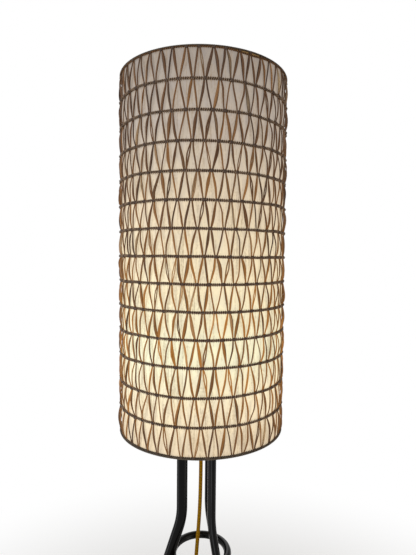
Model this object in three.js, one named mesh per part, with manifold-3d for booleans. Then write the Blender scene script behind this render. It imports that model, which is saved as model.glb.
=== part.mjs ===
// Rattan floor lamp: a tall drum shade of laced raffia over a parchment liner,
// carried by a lampholder on three bent tube legs that a brace ring ties together.
// Millimetres, +Z up. The lamp stands on the floor at z = 0, with one leg towards -X.
import * as THREE from 'three';
import { mergeVertices } from 'three/addons/utils/BufferGeometryUtils.js';
import Module from 'manifold-3d';

const wasm = await Module();
wasm.setup();

// Fit between pieces
const seat = 0.3;
const overrun = 5;

// Lamp and shade
const lampHeight = 1500;
const shadeHeight = 624;
const linerRadius = 145;
const linerWall = 1;
const weaveWall = 0.6;
const weaveBulge = 5.6;
const twineWidth = 4;
const rimWireWidth = 3;
const bindingDepth = 8;
const bindingWall = 1.2;
const rowHeightShares = [
  0.0766, 0.0741, 0.0753, 0.0695, 0.0691, 0.0684, 0.0679,
  0.0686, 0.0692, 0.0699, 0.0709, 0.0732, 0.0736, 0.0737,
];
const shadeSides = 28;
const twineSides = 5;

// Shade carrier
const armWidth = 3.2;
const armCount = 3;
const armLevelRun = 12;
const armElbow = 6;
const carrierPlate = 1.6;
const carrierRadius = 29;

// Legs, feet and brace ring
const legCount = 3;
const legDepth = 20;
const legWidth = 12.5;
const legWall = 1.5;
const legTopRadius = 35;
const bendDrop = 156;
const bendRadius = 135;
const splay = THREE.MathUtils.degToRad(18);
const footWall = 2.2;
const footPad = 4;
const footLength = 36;
const braceWidth = 14.4;
const braceInset = 6.3;
const braceDrop = 248;
const plugDepth = 20;

// Hub under the lampholder
const hubRise = 8;
const hubThickness = 4;
const hubMargin = 4;
const screwWidth = 4;
const screwHeadWidth = 8;
const screwHeadHeight = 2.4;
const nippleWall = 1.2;
const nippleStand = 6;
const nutHeight = 3;
const nutWidth = 16;
const glandLength = 30;
const glandWidth = 15;
const glandGrip = 9;
const glandMouthWall = 1.6;

// Lampholder
const holderWidth = 44;
const holderFootWidth = 28;
const holderBaseHeight = 24;
const holderWall = 2;
const holderLedge = 2.6;
const holderConeShare = 0.45;
const coreHeight = 10;
const sleeveWidth = 40;
const sleeveHeight = 33;
const sleeveFlange = 2;
const clampRingHeight = 7;
const clampRingWidth = 54;
const contactWidth = 6;
const contactHeight = 6;
const contactStripWidth = 4;
const contactStripHeight = 16;
const contactStripWall = 0.6;

// Bulb
const capWidth = 26.2;
const capHeight = 26;
const capCrest = 0.7;
const capThreads = 4;
const capTip = 3;
const capTipWidth = 12;
const capRun = 0.5;
const bulbWidth = 60;
const bulbHeight = 68;
const bulbNeckWidth = 27;
const bulbWall = 1;
const collarHeight = 14;
const collarWidth = 37;
const bulbNeckAngle = THREE.MathUtils.degToRad(-40);

// Flex, its coil, foot switch and plug
const flexWidth = 7;
const floorGap = 0.2;
const coilTurnsIn = 3;
const coilTurnsOut = 3 + 1 / 3;
const coilMeanRadius = 40.25;
const coilClearance = 0.6;
const coilX = 66;
const coilY = 60;
const coilStepsPerTurn = 24;
const coilFlexSides = 6;
const gapSamples = 4;
const tailLength = 62;
const tieWall = 0.5;
const tieDepth = 12;
const tieAngle = THREE.MathUtils.degToRad(200);
const switchLength = 84;
const switchWidth = 36;
const switchBaseHeight = 9;
const switchCoverHeight = 13;
const switchWall = 2;
const switchCorner = 9;
const switchX = 34;
const switchY = -110;
const switchAngle = THREE.MathUtils.degToRad(-70);
const switchBevel = 3;
const buttonWidth = 22;
const buttonRise = 4;
const buttonLip = 2;
const buttonEdge = 1.2;
const plugBodyLength = 36;
const plugBodyWidth = 26;
const plugBodyHeight = 13.6;
const plugNeckLength = 22;
const plugNeckWidth = 11;
const pinWidth = 4;
const pinLength = 19;
const pinSpacing = 18.6;
const pinSocket = 8;

// Finishes
const finish = (color, roughness, metalness) =>
  new THREE.MeshStandardMaterial({ color, roughness, metalness });
const finishes = {
  parchment: finish(0xf2dfb8, 0.85, 0),
  raffia: finish(0xa9773f, 0.8, 0),
  twine: finish(0x5b4a3c, 0.9, 0),
  binding: finish(0x6b5a48, 0.9, 0),
  lacquer: finish(0x17161a, 0.25, 0.3),
  wire: finish(0xc9c4b8, 0.4, 0.8),
  rubber: finish(0x1c1b1a, 0.85, 0),
  zinc: finish(0xb9bbbd, 0.35, 0.9),
  brass: finish(0xb8935a, 0.35, 0.9),
  moulded: finish(0x202022, 0.45, 0),
  ceramic: finish(0xe9e6df, 0.3, 0),
  opal: finish(0xfff4df, 0.3, 0),
  textile: finish(0xb98a1e, 0.8, 0),
};

// Closed geometry with shared vertices, no collapsed faces, and its faces pointing out
function closed(source) {
  const bare = source.index ? source.toNonIndexed() : source.clone();
  bare.deleteAttribute('normal');
  bare.deleteAttribute('uv');
  const merged = mergeVertices(bare);
  const corners = merged.getAttribute('position');
  const a = new THREE.Vector3();
  const b = new THREE.Vector3();
  const c = new THREE.Vector3();
  const faces = [];
  let volume = 0;
  for (let i = 0; i < merged.index.count; i += 3) {
    const face = [merged.index.getX(i), merged.index.getX(i + 1), merged.index.getX(i + 2)];
    if (new Set(face).size < 3) continue;
    faces.push(face);
    a.fromBufferAttribute(corners, face[0]);
    b.fromBufferAttribute(corners, face[1]);
    c.fromBufferAttribute(corners, face[2]);
    volume += a.dot(b.cross(c));
  }
  if (volume < 0) faces.forEach((face) => face.reverse());
  const result = new THREE.BufferGeometry();
  result.setAttribute('position', corners);
  result.setIndex(faces.flat());
  return result;
}

const toSolid = (geometry) => {
  const clean = closed(geometry);
  return new wasm.Manifold(new wasm.Mesh({
    numProp: 3,
    vertProperties: new Float32Array(clean.getAttribute('position').array),
    triVerts: new Uint32Array(clean.index.array),
  }));
};

const fromSolid = (solid) => {
  const mesh = solid.getMesh();
  const geometry = new THREE.BufferGeometry();
  geometry.setAttribute('position', new THREE.BufferAttribute(mesh.vertProperties, mesh.numProp));
  geometry.setIndex(new THREE.BufferAttribute(mesh.triVerts, 1));
  return geometry;
};

// A body with other bodies cut out of it
const cut = (body, ...tools) =>
  fromSolid(tools.reduce((solid, tool) => solid.subtract(toSolid(tool)), toSolid(body)));

// A turned body about Z from an outline of [radius, height] points
const turned = (outline, sides) => {
  const points = outline.map(([radius, height]) => new THREE.Vector2(radius, height));
  return closed(new THREE.LatheGeometry(points, sides).rotateX(Math.PI / 2));
};

// A turned body whose outline closes on itself, away from the axis
const turnedRing = (outline, sides) => turned([...outline, outline[0]], sides);

// A round-section ring about Z
const hoop = (radius, width, sectionSides, sides) =>
  closed(new THREE.TorusGeometry(radius, width / 2, sectionSides, sides));

// A turned tube between two radii
const tube = (inner, outer, low, high, sides) =>
  turnedRing([[outer, low], [outer, high], [inner, high], [inner, low]], sides);

const round = (radius, x = 0, y = 0) => new THREE.Path().absarc(x, y, radius, 0, Math.PI * 2);

const oval = (width, depth, Kind = THREE.Shape) =>
  new Kind().absellipse(0, 0, width / 2, depth / 2, 0, Math.PI * 2);

// A prism from a flat shape, rising from the given height
const prism = (shape, low, height, curveSegments) =>
  closed(new THREE.ExtrudeGeometry(shape, { depth: height, bevelEnabled: false, curveSegments })
    .translate(0, 0, low));

// A route whose sections stand exactly at the given points
class Route extends THREE.Curve {
  constructor(points) {
    super();
    this.points = points;
  }

  getPoint(t) {
    const place = t * (this.points.length - 1);
    const index = Math.min(Math.floor(place), this.points.length - 2);
    return new THREE.Vector3().lerpVectors(this.points[index], this.points[index + 1], place - index);
  }

  getPointAt(t) {
    return this.getPoint(t);
  }

  getTangentAt(t) {
    const index = Math.round(t * (this.points.length - 1));
    const before = this.points[Math.max(index - 1, 0)];
    const after = this.points[Math.min(index + 1, this.points.length - 1)];
    return new THREE.Vector3().subVectors(after, before).normalize();
  }

  getSpacedPoints() {
    return this.points.map((point) => point.clone());
  }
}

const swept = (section, points, curveSegments) =>
  closed(new THREE.ExtrudeGeometry(section, {
    extrudePath: new Route(points),
    steps: points.length - 1,
    bevelEnabled: false,
    curveSegments,
  }));

const lamp = new THREE.Group();
const standing = new THREE.Group();
const flexGroup = new THREE.Group();
lamp.add(standing, flexGroup);

function piece(name, geometry, material, parent = standing) {
  const mesh = new THREE.Mesh(geometry, finishes[material]);
  mesh.name = name;
  parent.add(mesh);
  return mesh;
}

// Shade: the liner, its rim wires, the raffia skin, the twine rings and the rim bindings
const shadeFoot = lampHeight - shadeHeight;
const shade = new THREE.Group();
shade.position.z = shadeFoot;
standing.add(shade);

const linerInner = linerRadius - linerWall;
const linerLow = bindingWall + seat;
const linerHigh = shadeHeight - bindingWall - seat;
const weaveInner = linerRadius + seat;
const grooveRadius = weaveInner + weaveWall;
const twineRadius = grooveRadius + seat + twineWidth / 2;
const rimTwineLow = bindingDepth / 2;
const rimTwineHigh = shadeHeight - bindingDepth / 2;
const ringHeights = [rimTwineLow];
for (const share of rowHeightShares) {
  ringHeights.push(ringHeights.at(-1) + share * (rimTwineHigh - rimTwineLow));
}
ringHeights[ringHeights.length - 1] = rimTwineHigh;

piece('shade_liner', tube(linerInner, linerRadius, linerLow, linerHigh, shadeSides), 'parchment', shade);

const weaveLow = bindingDepth + seat;
const weaveHigh = shadeHeight - bindingDepth - seat;
const weaveOutline = [[grooveRadius, weaveLow]];
ringHeights.slice(1).forEach((height, row) => {
  const below = Math.max(ringHeights[row], weaveLow);
  const above = Math.min(height, weaveHigh);
  weaveOutline.push([grooveRadius + weaveBulge, (below + above) / 2], [grooveRadius, above]);
});
weaveOutline.push([weaveInner, weaveHigh], [weaveInner, weaveLow]);
piece('raffia_weave', turnedRing(weaveOutline, shadeSides), 'raffia', shade);

ringHeights.slice(1, -1).forEach((height, index) => {
  const name = `twine_${String(index + 1).padStart(2, '0')}`;
  const twine = piece(name, hoop(twineRadius, twineWidth, twineSides, shadeSides), 'twine', shade);
  twine.position.z = height;
});

const rimWireRadius = linerInner - seat - rimWireWidth / 2;
const bindingOuter = twineRadius + twineWidth / 2;
const bindingInner = rimWireRadius - rimWireWidth / 2 - seat - bindingWall;
const rimWireHeight = bindingWall + seat + rimWireWidth / 2;
const bindingLip = rimWireHeight + rimWireWidth / 2;
const bindingOutline = [
  [bindingInner, bindingLip],
  [bindingInner, 0],
  [bindingOuter, 0],
  [bindingOuter, bindingDepth],
  [linerRadius + seat, bindingDepth],
  [linerRadius + seat, bindingWall],
  [bindingInner + bindingWall, bindingWall],
  [bindingInner + bindingWall, bindingLip],
];
piece('bottom_binding', turnedRing(bindingOutline, shadeSides), 'binding', shade);
const topBinding = piece('top_binding', turnedRing(bindingOutline, shadeSides), 'binding', shade);
topBinding.rotation.x = Math.PI;
topBinding.position.z = shadeHeight;
for (const [name, height] of [
  ['bottom_rim_wire', rimWireHeight],
  ['top_rim_wire', shadeHeight - rimWireHeight],
]) {
  const wire = piece(name, hoop(rimWireRadius, rimWireWidth, twineSides, shadeSides), 'wire', shade);
  wire.position.z = height;
}

// Hub: the plate that joins the legs and carries the lampholder
const hubLow = shadeFoot + hubRise;
const hubHigh = hubLow + hubThickness;
const nippleRadius = flexWidth / 2 + seat + nippleWall;
const hubRadius = legTopRadius + legDepth / 2 + hubMargin;
const roundSides = 12;
const smallSides = 12;
const flexSegments = 4;
const legAngles = Array.from({ length: legCount }, (_, i) => Math.PI + (i * 2 * Math.PI) / legCount);

const hubShape = new THREE.Shape().absarc(0, 0, hubRadius, 0, Math.PI * 2);
hubShape.holes.push(round(nippleRadius + seat));
for (const angle of legAngles) {
  hubShape.holes.push(round(
    screwWidth / 2 + seat,
    legTopRadius * Math.cos(angle),
    legTopRadius * Math.sin(angle),
  ));
}
piece('hub_plate', prism(hubShape, hubLow, hubThickness, roundSides), 'lacquer');

// Legs: an oval tube, upright under the hub and then splayed, notched for the brace ring
const legTop = hubLow - seat;
const bendHigh = shadeFoot - bendDrop;
const bendLow = bendHigh - bendRadius * Math.sin(splay);
const bendOut = legTopRadius + bendRadius * (1 - Math.cos(splay));
const legEnd = footPad + seat + (legDepth / 2) * Math.sin(splay);
const bendSteps = 4;
const legSegments = 7;

// How far out the middle of a leg stands at a height
function legOut(height) {
  if (height >= bendHigh) return legTopRadius;
  if (height <= bendLow) return bendOut + (bendLow - height) * Math.tan(splay);
  const turn = Math.asin((bendHigh - height) / bendRadius);
  return legTopRadius + bendRadius * (1 - Math.cos(turn));
}
const legEndRadius = legOut(legEnd);

const legRoute = (extra) => {
  const points = [new THREE.Vector3(legTopRadius, 0, legTop + extra)];
  for (let i = 0; i <= bendSteps; i += 1) {
    const turn = (splay * i) / bendSteps;
    const out = legTopRadius + bendRadius * (1 - Math.cos(turn));
    points.push(new THREE.Vector3(out, 0, bendHigh - bendRadius * Math.sin(turn)));
  }
  points.push(new THREE.Vector3(
    legEndRadius + extra * Math.sin(splay),
    0,
    legEnd - extra * Math.cos(splay),
  ));
  return points;
};

const legSection = oval(legWidth, legDepth);
legSection.holes.push(oval(legWidth - 2 * legWall, legDepth - 2 * legWall, THREE.Path));
const braceHeight = shadeFoot - braceDrop;
const braceRadius = legOut(braceHeight) - braceInset;
const braceSides = 40;
const braceNotch = hoop(braceRadius, braceWidth + 2 * seat, smallSides, braceSides)
  .translate(0, 0, braceHeight);
const legBody = cut(swept(legSection, legRoute(0), legSegments), braceNotch);
const legPlugShape = oval(legDepth - 2 * legWall - 2 * seat, legWidth - 2 * legWall - 2 * seat);
legPlugShape.holes.push(round(screwWidth / 2 + seat));
const legPlugBody = prism(legPlugShape, -plugDepth, plugDepth, legSegments);

// Feet: a rubber ferrule in line with each leg, cut flat at the floor
const footDirection = new THREE.Vector3(Math.sin(splay), 0, -Math.cos(splay));
const legEndPoint = new THREE.Vector3(legEndRadius, 0, legEnd);
const footPoints = [-footLength, footLength].map((run) =>
  legEndPoint.clone().addScaledVector(footDirection, run));
const footSection = oval(legWidth + 2 * (seat + footWall), legDepth + 2 * (seat + footWall));
const socketSection = oval(legWidth + 2 * seat, legDepth + 2 * seat);
const belowFloor = new THREE.BoxGeometry(lampHeight, lampHeight, lampHeight)
  .translate(legEndRadius, 0, -lampHeight / 2);
const footBody = cut(
  swept(footSection, footPoints, legSegments),
  swept(socketSection, [
    legEndPoint.clone().addScaledVector(footDirection, -footLength - overrun),
    legEndPoint.clone().addScaledVector(footDirection, seat),
  ], legSegments),
  belowFloor,
);

const screwBody = turned([
  [0, -hubThickness - plugDepth / 2],
  [screwWidth / 2, -hubThickness - plugDepth / 2],
  [screwWidth / 2, seat],
  [screwHeadWidth / 2, seat],
  [screwHeadWidth / 2, seat + screwHeadHeight / 2],
  [screwHeadWidth / 3, seat + screwHeadHeight],
  [0, seat + screwHeadHeight],
], smallSides);

const legNames = ['left', 'front', 'rear'];
legAngles.forEach((angle, index) => {
  const spoke = new THREE.Group();
  spoke.rotation.z = angle;
  standing.add(spoke);
  const side = legNames[index];
  piece(`leg_${side}`, legBody, 'lacquer', spoke);
  piece(`foot_${side}`, footBody, 'rubber', spoke);
  const plug = piece(`leg_plug_${side}`, legPlugBody, 'zinc', spoke);
  plug.position.set(legTopRadius, 0, legTop);
  const screw = piece(`hub_screw_${side}`, screwBody, 'zinc', spoke);
  screw.position.set(legTopRadius, 0, hubHigh);
});

const braceRing = piece('brace_ring', hoop(braceRadius, braceWidth, smallSides - 2, braceSides), 'lacquer');
braceRing.position.z = braceHeight;

// Shade carrier: a washer on the lampholder and three arms that stand on the bottom rim wire
const holderLow = hubHigh + seat;
const holderHigh = holderLow + holderBaseHeight;
const sleeveLow = holderHigh + seat;
const carrierLow = sleeveLow + sleeveFlange + seat - shadeFoot;
const carrierInner = sleeveWidth / 2 + seat;
piece(
  'carrier_washer',
  tube(carrierInner, carrierRadius, carrierLow, carrierLow + carrierPlate, roundSides * 2),
  'wire',
  shade,
);
const flatShare = Math.cos(Math.PI / shadeSides);
const armRadius = rimWireRadius * flatShare - (armWidth - rimWireWidth) / 2 - seat;
const armLow = rimWireHeight + rimWireWidth / 2 + seat;
const armHigh = carrierLow + carrierPlate / 2;
const armBody = swept(oval(armWidth, armWidth), [
  new THREE.Vector3(carrierRadius + seat, 0, armHigh),
  new THREE.Vector3(carrierRadius + seat + armLevelRun, 0, armHigh),
  new THREE.Vector3(armRadius - armElbow, 0, armLow + 2 * armElbow),
  new THREE.Vector3(armRadius, 0, armLow + armElbow),
  new THREE.Vector3(armRadius, 0, armLow),
], 4);
for (let i = 0; i < armCount; i += 1) {
  const arm = piece(`carrier_arm_${i + 1}`, armBody, 'wire', shade);
  arm.rotation.z = ((i + 1 / 2) * 2 * Math.PI) / armCount;
}
const clampLow = carrierLow + carrierPlate + seat;
const clampRing = piece(
  'clamp_ring',
  tube(carrierInner, clampRingWidth / 2, 0, clampRingHeight, roundSides * 2),
  'moulded',
);
clampRing.position.z = shadeFoot + clampLow;

// Cable entry under the hub: threaded nipple, lock nut and tapered strain relief
const nutLow = hubLow - seat - nutHeight;
const glandHigh = nutLow - seat;
const glandLow = glandHigh - glandLength;
const flexBore = flexWidth / 2 + seat;
const nippleHigh = holderLow + nippleStand;
piece('nipple', tube(flexBore, nippleRadius, glandHigh - glandGrip, nippleHigh, roundSides), 'zinc');
const nutSides = 6;
const nutShape = new THREE.Shape(
  new THREE.Path().absarc(0, 0, nutWidth / 2, 0, 2 * Math.PI).getPoints(nutSides / 2),
);
nutShape.holes.push(round(nippleRadius + seat));
piece('lock_nut', prism(nutShape, nutLow, nutHeight, roundSides / 2), 'zinc');
piece('strain_relief', turnedRing([
  [nippleRadius + seat, glandHigh],
  [glandWidth / 2, glandHigh],
  [glandWidth / 2, glandHigh - glandGrip],
  [flexBore + glandMouthWall, glandLow],
  [flexBore, glandLow],
  [flexBore, glandHigh - glandGrip - seat],
  [nippleRadius + seat, glandHigh - glandGrip - seat],
], roundSides), 'rubber');

// Lampholder
const holderRadius = holderWidth / 2;
const coreRadius = holderRadius - holderWall - seat;
const coreLow = holderHigh - coreHeight;
const coreMouth = coreRadius - holderLedge;
piece('holder_base', turnedRing([
  [nippleRadius + seat, holderLow],
  [holderFootWidth / 2, holderLow],
  [holderRadius, holderLow + holderBaseHeight * holderConeShare],
  [holderRadius, holderHigh],
  [coreRadius + seat, holderHigh],
  [coreRadius + seat, coreLow - seat],
  [coreMouth, coreLow - seat],
  [holderFootWidth / 2 - holderWall, holderLow + holderWall],
  [nippleRadius + seat, holderLow + holderWall],
], roundSides * 2), 'moulded');
piece('holder_core', prism(oval(2 * coreRadius, 2 * coreRadius), coreLow, coreHeight, roundSides), 'ceramic');
piece(
  'lead_in',
  prism(oval(flexWidth, flexWidth), glandLow, coreLow - seat - glandLow, flexSegments),
  'textile',
);
const capRadius = capWidth / 2;
const sleeveInner = capRadius + contactStripWall + 2 * capRun;
piece('holder_sleeve', turnedRing([
  [sleeveInner, sleeveLow],
  [holderRadius, sleeveLow],
  [holderRadius, sleeveLow + sleeveFlange],
  [sleeveWidth / 2, sleeveLow + sleeveFlange],
  [sleeveWidth / 2, sleeveLow + sleeveHeight],
  [sleeveInner, sleeveLow + sleeveHeight],
], roundSides * 2), 'moulded');
piece(
  'centre_contact',
  prism(oval(contactWidth, contactWidth), sleeveLow, contactHeight, roundSides / 2),
  'brass',
);
const sideContact = piece(
  'side_contact',
  closed(new THREE.BoxGeometry(contactStripWall, contactStripWidth, contactStripHeight)),
  'brass',
);
sideContact.position.set(
  capRadius + capRun + contactStripWall / 2,
  0,
  sleeveLow + contactStripHeight / 2,
);

// Bulb
const capLow = sleeveLow + contactHeight + seat;
const capHigh = capLow + capHeight;
const capOutline = [[0, capLow], [capTipWidth / 2, capLow]];
const threadPitch = (capHeight - 2 * capTip) / capThreads;
for (let i = 0; i < capThreads; i += 1) {
  const crest = capLow + capTip + i * threadPitch;
  capOutline.push([capRadius - capCrest, crest], [capRadius, crest + threadPitch / 2]);
}
capOutline.push([capRadius - capCrest, capHigh - capTip], [capRadius - capCrest, capHigh], [0, capHigh]);
piece('bulb_cap', turned(capOutline, roundSides), 'zinc');
const collarLow = capHigh + seat;
const collarHigh = collarLow + collarHeight;
piece('bulb_collar', turned([
  [0, collarLow],
  [bulbNeckWidth / 2, collarLow],
  [collarWidth / 2, collarHigh],
  [0, collarHigh],
], roundSides * 2), 'ceramic');
const globeLow = collarHigh + seat;
const globeRadius = bulbWidth / 2;
const globeCentre = globeLow + bulbHeight - globeRadius;
const globeSteps = 7;
const globeSkin = (inset) => {
  const points = [[collarWidth / 2 - inset, globeLow]];
  for (let i = 0; i <= globeSteps; i += 1) {
    const angle = THREE.MathUtils.lerp(bulbNeckAngle, Math.PI / 2, i / globeSteps);
    const reach = globeRadius - inset;
    const out = i === globeSteps ? 0 : reach * Math.cos(angle);
    points.push([out, globeCentre + reach * Math.sin(angle)]);
  }
  return points;
};
const globeOutline = [...globeSkin(0), ...globeSkin(bulbWall).reverse()];
globeOutline.push(globeOutline[0]);
piece('bulb_globe', turned(globeOutline, roundSides * 2), 'opal');

// Flex: down from the strain relief to the foot switch, then to the coil
const flexSection = oval(flexWidth, flexWidth);
const floorLine = flexWidth / 2 + floorGap;
const switchAlong = new THREE.Vector3(Math.cos(switchAngle), Math.sin(switchAngle), 0);
const switchCentre = new THREE.Vector3(switchX, switchY, floorLine);
const switchEnd = (side) =>
  switchCentre.clone().addScaledVector(switchAlong, side * (switchLength / 2 + seat));
const flexExit = new THREE.Vector3(0, 0, glandLow - seat);
const dropPoints = [
  [0, 0, 835], [0, 0, 800], [-0.4, 0, 760], [-1.6, 0, 715], [-4.2, 0, 670], [-7.6, -1, 622],
  [-11, -2, 560], [-14, -4, 470], [-15.5, -6, 370], [-14.5, -8, 270], [-11, -10, 180],
  [-6, -11, 110], [-2.6, -12.2, 70], [-0.6, -15, 42], [3.4, -25.5, 14], [9, -41, 4.6],
];
const leadPoints = [
  [54.5, -163.2, 3.7], [65.6, -172.9, 3.7], [88.9, -177, 3.7], [109.4, -165.2, 3.7],
  [117.8, -143, 3.7], [118.6, -100, 3.7], [116.9, -50, 3.7], [117.3, 0, 3.7], [117.65, 30, 3.9],
];
const vectors = (points) => points.map(([x, y, z]) => new THREE.Vector3(x, y, z));
const flexStep = 3 * flexWidth;
const routeLength = (route) =>
  route.slice(1).reduce((sum, point, i) => sum + point.distanceTo(route[i]), 0);

// A stretch of flex whose two ends run straight for one diameter
function flexTube(start, startAlong, points, end, endAlong) {
  const curve = new THREE.CatmullRomCurve3([
    start.clone().addScaledVector(startAlong, flexWidth),
    ...vectors(points),
    end.clone().addScaledVector(endAlong, -flexWidth),
  ], false, 'centripetal');
  const steps = Math.round(curve.getLength() / flexStep);
  const route = [start, ...curve.getSpacedPoints(steps), end];
  return { body: swept(flexSection, route, flexSegments), length: routeLength(route) };
}

const down = new THREE.Vector3(0, 0, -1);
const drop = flexTube(flexExit, down, dropPoints, switchEnd(-1), switchAlong);
piece('cord_drop', drop.body, 'textile', flexGroup);

// Coil: two layers, spiralling in on the floor and out again on top, then a straight tail
const coilPitch = flexWidth + coilClearance;
const coilOuter = coilMeanRadius + (coilTurnsIn * coilPitch) / 2;
const coilInner = coilMeanRadius - (coilTurnsIn * coilPitch) / 2;
const coilLow = floorGap + tieWall + seat + flexWidth / 2;
const coilCentre = new THREE.Vector3(coilX, coilY, 0);
const climb = Math.PI / 2;
const plugLine = floorGap + plugBodyHeight / 2;

function coilPoint(turn) {
  const reversal = 2 * Math.PI * coilTurnsIn;
  const radius = coilInner + (coilPitch * Math.abs(turn - reversal)) / (2 * Math.PI);
  const rise = THREE.MathUtils.smoothstep(turn, reversal - climb, reversal + climb);
  return new THREE.Vector3(
    coilCentre.x + radius * Math.cos(turn),
    coilCentre.y + radius * Math.sin(turn),
    coilLow + coilPitch * rise,
  );
}

const coilTurn = 2 * Math.PI * (coilTurnsIn + coilTurnsOut);
const coilSteps = Math.round(coilStepsPerTurn * (coilTurnsIn + coilTurnsOut));
const coilRoute = [coilPoint(0).add(new THREE.Vector3(0, -flexWidth, 0))];
for (let i = 0; i <= coilSteps; i += 1) {
  coilRoute.push(coilPoint((coilTurn * i) / coilSteps));
}
const tailAlong = new THREE.Vector3(-Math.sin(coilTurn), Math.cos(coilTurn), 0);
const tailStart = coilRoute.at(-1).clone();
const tailSteps = 6;
for (let i = 1; i <= tailSteps; i += 1) {
  const run = ((tailLength - flexWidth) * i) / tailSteps;
  const point = tailStart.clone().addScaledVector(tailAlong, run);
  point.z = THREE.MathUtils.lerp(tailStart.z, plugLine, THREE.MathUtils.smoothstep(i, 0, tailSteps));
  coilRoute.push(point);
}
const tailEnd = coilRoute.at(-1).clone().addScaledVector(tailAlong, flexWidth);
coilRoute.push(tailEnd);
const coilBody = swept(flexSection, coilRoute, coilFlexSides / 2);
piece('cord_coil', coilBody, 'textile', flexGroup);

const coilStart = coilRoute[0].clone().add(new THREE.Vector3(0, -seat, 0));
const coilEntry = new THREE.Vector3(0, 1, 0);
const lead = flexTube(switchEnd(1), switchAlong, leadPoints, coilStart, coilEntry);
piece('cord_lead', lead.body, 'textile', flexGroup);

// Least gap between turns of the coil, and the whole length of the flex
function leastGap(route, width) {
  const fine = new THREE.CatmullRomCurve3(route).getSpacedPoints(route.length * gapSamples);
  const apart = Math.ceil((gapSamples * width) / fine[0].distanceTo(fine[1]));
  let least = Infinity;
  for (let i = 0; i < fine.length; i += 1) {
    for (let j = i + apart; j < fine.length; j += 1) {
      least = Math.min(least, fine[i].distanceTo(fine[j]));
    }
  }
  return least - width;
}
console.log(`coil gap ${leastGap(coilRoute, flexWidth).toFixed(2)} mm`);
console.log(`flex ${(drop.length + lead.length + routeLength(coilRoute)).toFixed(0)} mm`);

const tieInner = coilInner - flexWidth / 2 - seat;
const tieOuter = coilOuter + flexWidth / 2 + seat;
const tieHigh = coilLow + coilPitch + flexWidth / 2 + seat;
const box = (left, right, low, high, Kind = THREE.Shape) =>
  new Kind([[left, low], [right, low], [right, high], [left, high]].map(([x, y]) =>
    new THREE.Vector2(x, y)));
const tieShape = box(tieInner - tieWall, tieOuter + tieWall, floorGap, tieHigh + tieWall);
tieShape.holes.push(box(tieInner, tieOuter, floorGap + tieWall, tieHigh, THREE.Path));
const tieBody = closed(prism(tieShape, -tieDepth / 2, tieDepth, 1).rotateX(Math.PI / 2));
const coilTie = new THREE.Group();
coilTie.position.copy(coilCentre);
coilTie.rotation.z = tieAngle;
flexGroup.add(coilTie);
piece('coil_tie', tieBody, 'rubber', coilTie);

// Foot switch: lower shell, upper shell and the button that it guides
const footSwitch = new THREE.Group();
footSwitch.position.set(switchX, switchY, 0);
footSwitch.rotation.z = switchAngle;
flexGroup.add(footSwitch);

function roundedBox(length, width, corner) {
  const shape = new THREE.Shape();
  const x = length / 2 - corner;
  const y = width / 2 - corner;
  shape.absarc(x, y, corner, 0, Math.PI / 2);
  shape.absarc(-x, y, corner, Math.PI / 2, Math.PI);
  shape.absarc(-x, -y, corner, Math.PI, 1.5 * Math.PI);
  shape.absarc(x, -y, corner, 1.5 * Math.PI, 2 * Math.PI);
  return shape;
}
const cornerSteps = 2;
const coverLow = switchBaseHeight + seat;
const coverHigh = coverLow + switchCoverHeight;
piece(
  'switch_base',
  prism(roundedBox(switchLength, switchWidth, switchCorner), 0, switchBaseHeight, cornerSteps),
  'moulded',
  footSwitch,
);
const coverBlock = new THREE.ExtrudeGeometry(
  roundedBox(switchLength - 2 * switchBevel, switchWidth - 2 * switchBevel, switchCorner - switchBevel),
  {
    depth: switchCoverHeight + overrun,
    bevelThickness: switchBevel,
    bevelSize: switchBevel,
    bevelSegments: 1,
    curveSegments: cornerSteps,
  },
).translate(0, 0, coverHigh - switchCoverHeight - overrun - switchBevel);
const buttonRadius = buttonWidth / 2;
const coverRoof = coverHigh - switchWall;
piece('switch_cover', cut(
  coverBlock,
  new THREE.BoxGeometry(2 * switchLength, 2 * switchWidth, 2 * coverHigh)
    .translate(0, 0, coverLow - coverHigh),
  prism(
    roundedBox(switchLength - 2 * switchBevel, switchWidth - 2 * switchBevel, switchCorner - switchBevel),
    coverLow - overrun,
    coverRoof - coverLow + overrun,
    cornerSteps,
  ),
  prism(oval(buttonWidth + 2 * seat, buttonWidth + 2 * seat), 0, coverHigh + overrun, roundSides),
), 'moulded', footSwitch);
const buttonShoulder = coverRoof - seat;
piece('switch_button', turned([
  [0, buttonShoulder - buttonLip],
  [buttonRadius + buttonLip, buttonShoulder - buttonLip],
  [buttonRadius + buttonLip, buttonShoulder],
  [buttonRadius, buttonShoulder],
  [buttonRadius, coverHigh + buttonRise - buttonEdge],
  [buttonRadius - buttonEdge, coverHigh + buttonRise],
  [0, coverHigh + buttonRise],
], roundSides * 2), 'moulded', footSwitch);

// Plug: a flat moulded body with a tapered neck and two round pins
const plug = new THREE.Group();
plug.position.copy(tailEnd);
plug.rotation.z = Math.atan2(tailAlong.y, tailAlong.x);
flexGroup.add(plug);
const neckStart = seat;
const plugBack = neckStart + plugNeckLength;
const plugFace = plugBack + plugBodyLength;
const plugShoulder = plugBack + plugBodyWidth / 3;
const plugShape = new THREE.Shape([
  [plugBack, -plugNeckWidth / 2],
  [plugShoulder, -plugBodyWidth / 2],
  [plugFace, -plugBodyWidth / 2],
  [plugFace, plugBodyWidth / 2],
  [plugShoulder, plugBodyWidth / 2],
  [plugBack, plugNeckWidth / 2],
].map(([x, y]) => new THREE.Vector2(x, y)));
const neck = turned([
  [0, neckStart],
  [flexWidth / 2, neckStart],
  [plugNeckWidth / 2, plugBack],
  [plugNeckWidth / 2, plugShoulder],
  [0, plugShoulder],
], roundSides).rotateY(Math.PI / 2);
const plugBlock = prism(plugShape, -plugBodyHeight / 2, plugBodyHeight, 1);
const pinSides = roundSides;
const boreWidth = pinWidth + 2 * seat;
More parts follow.
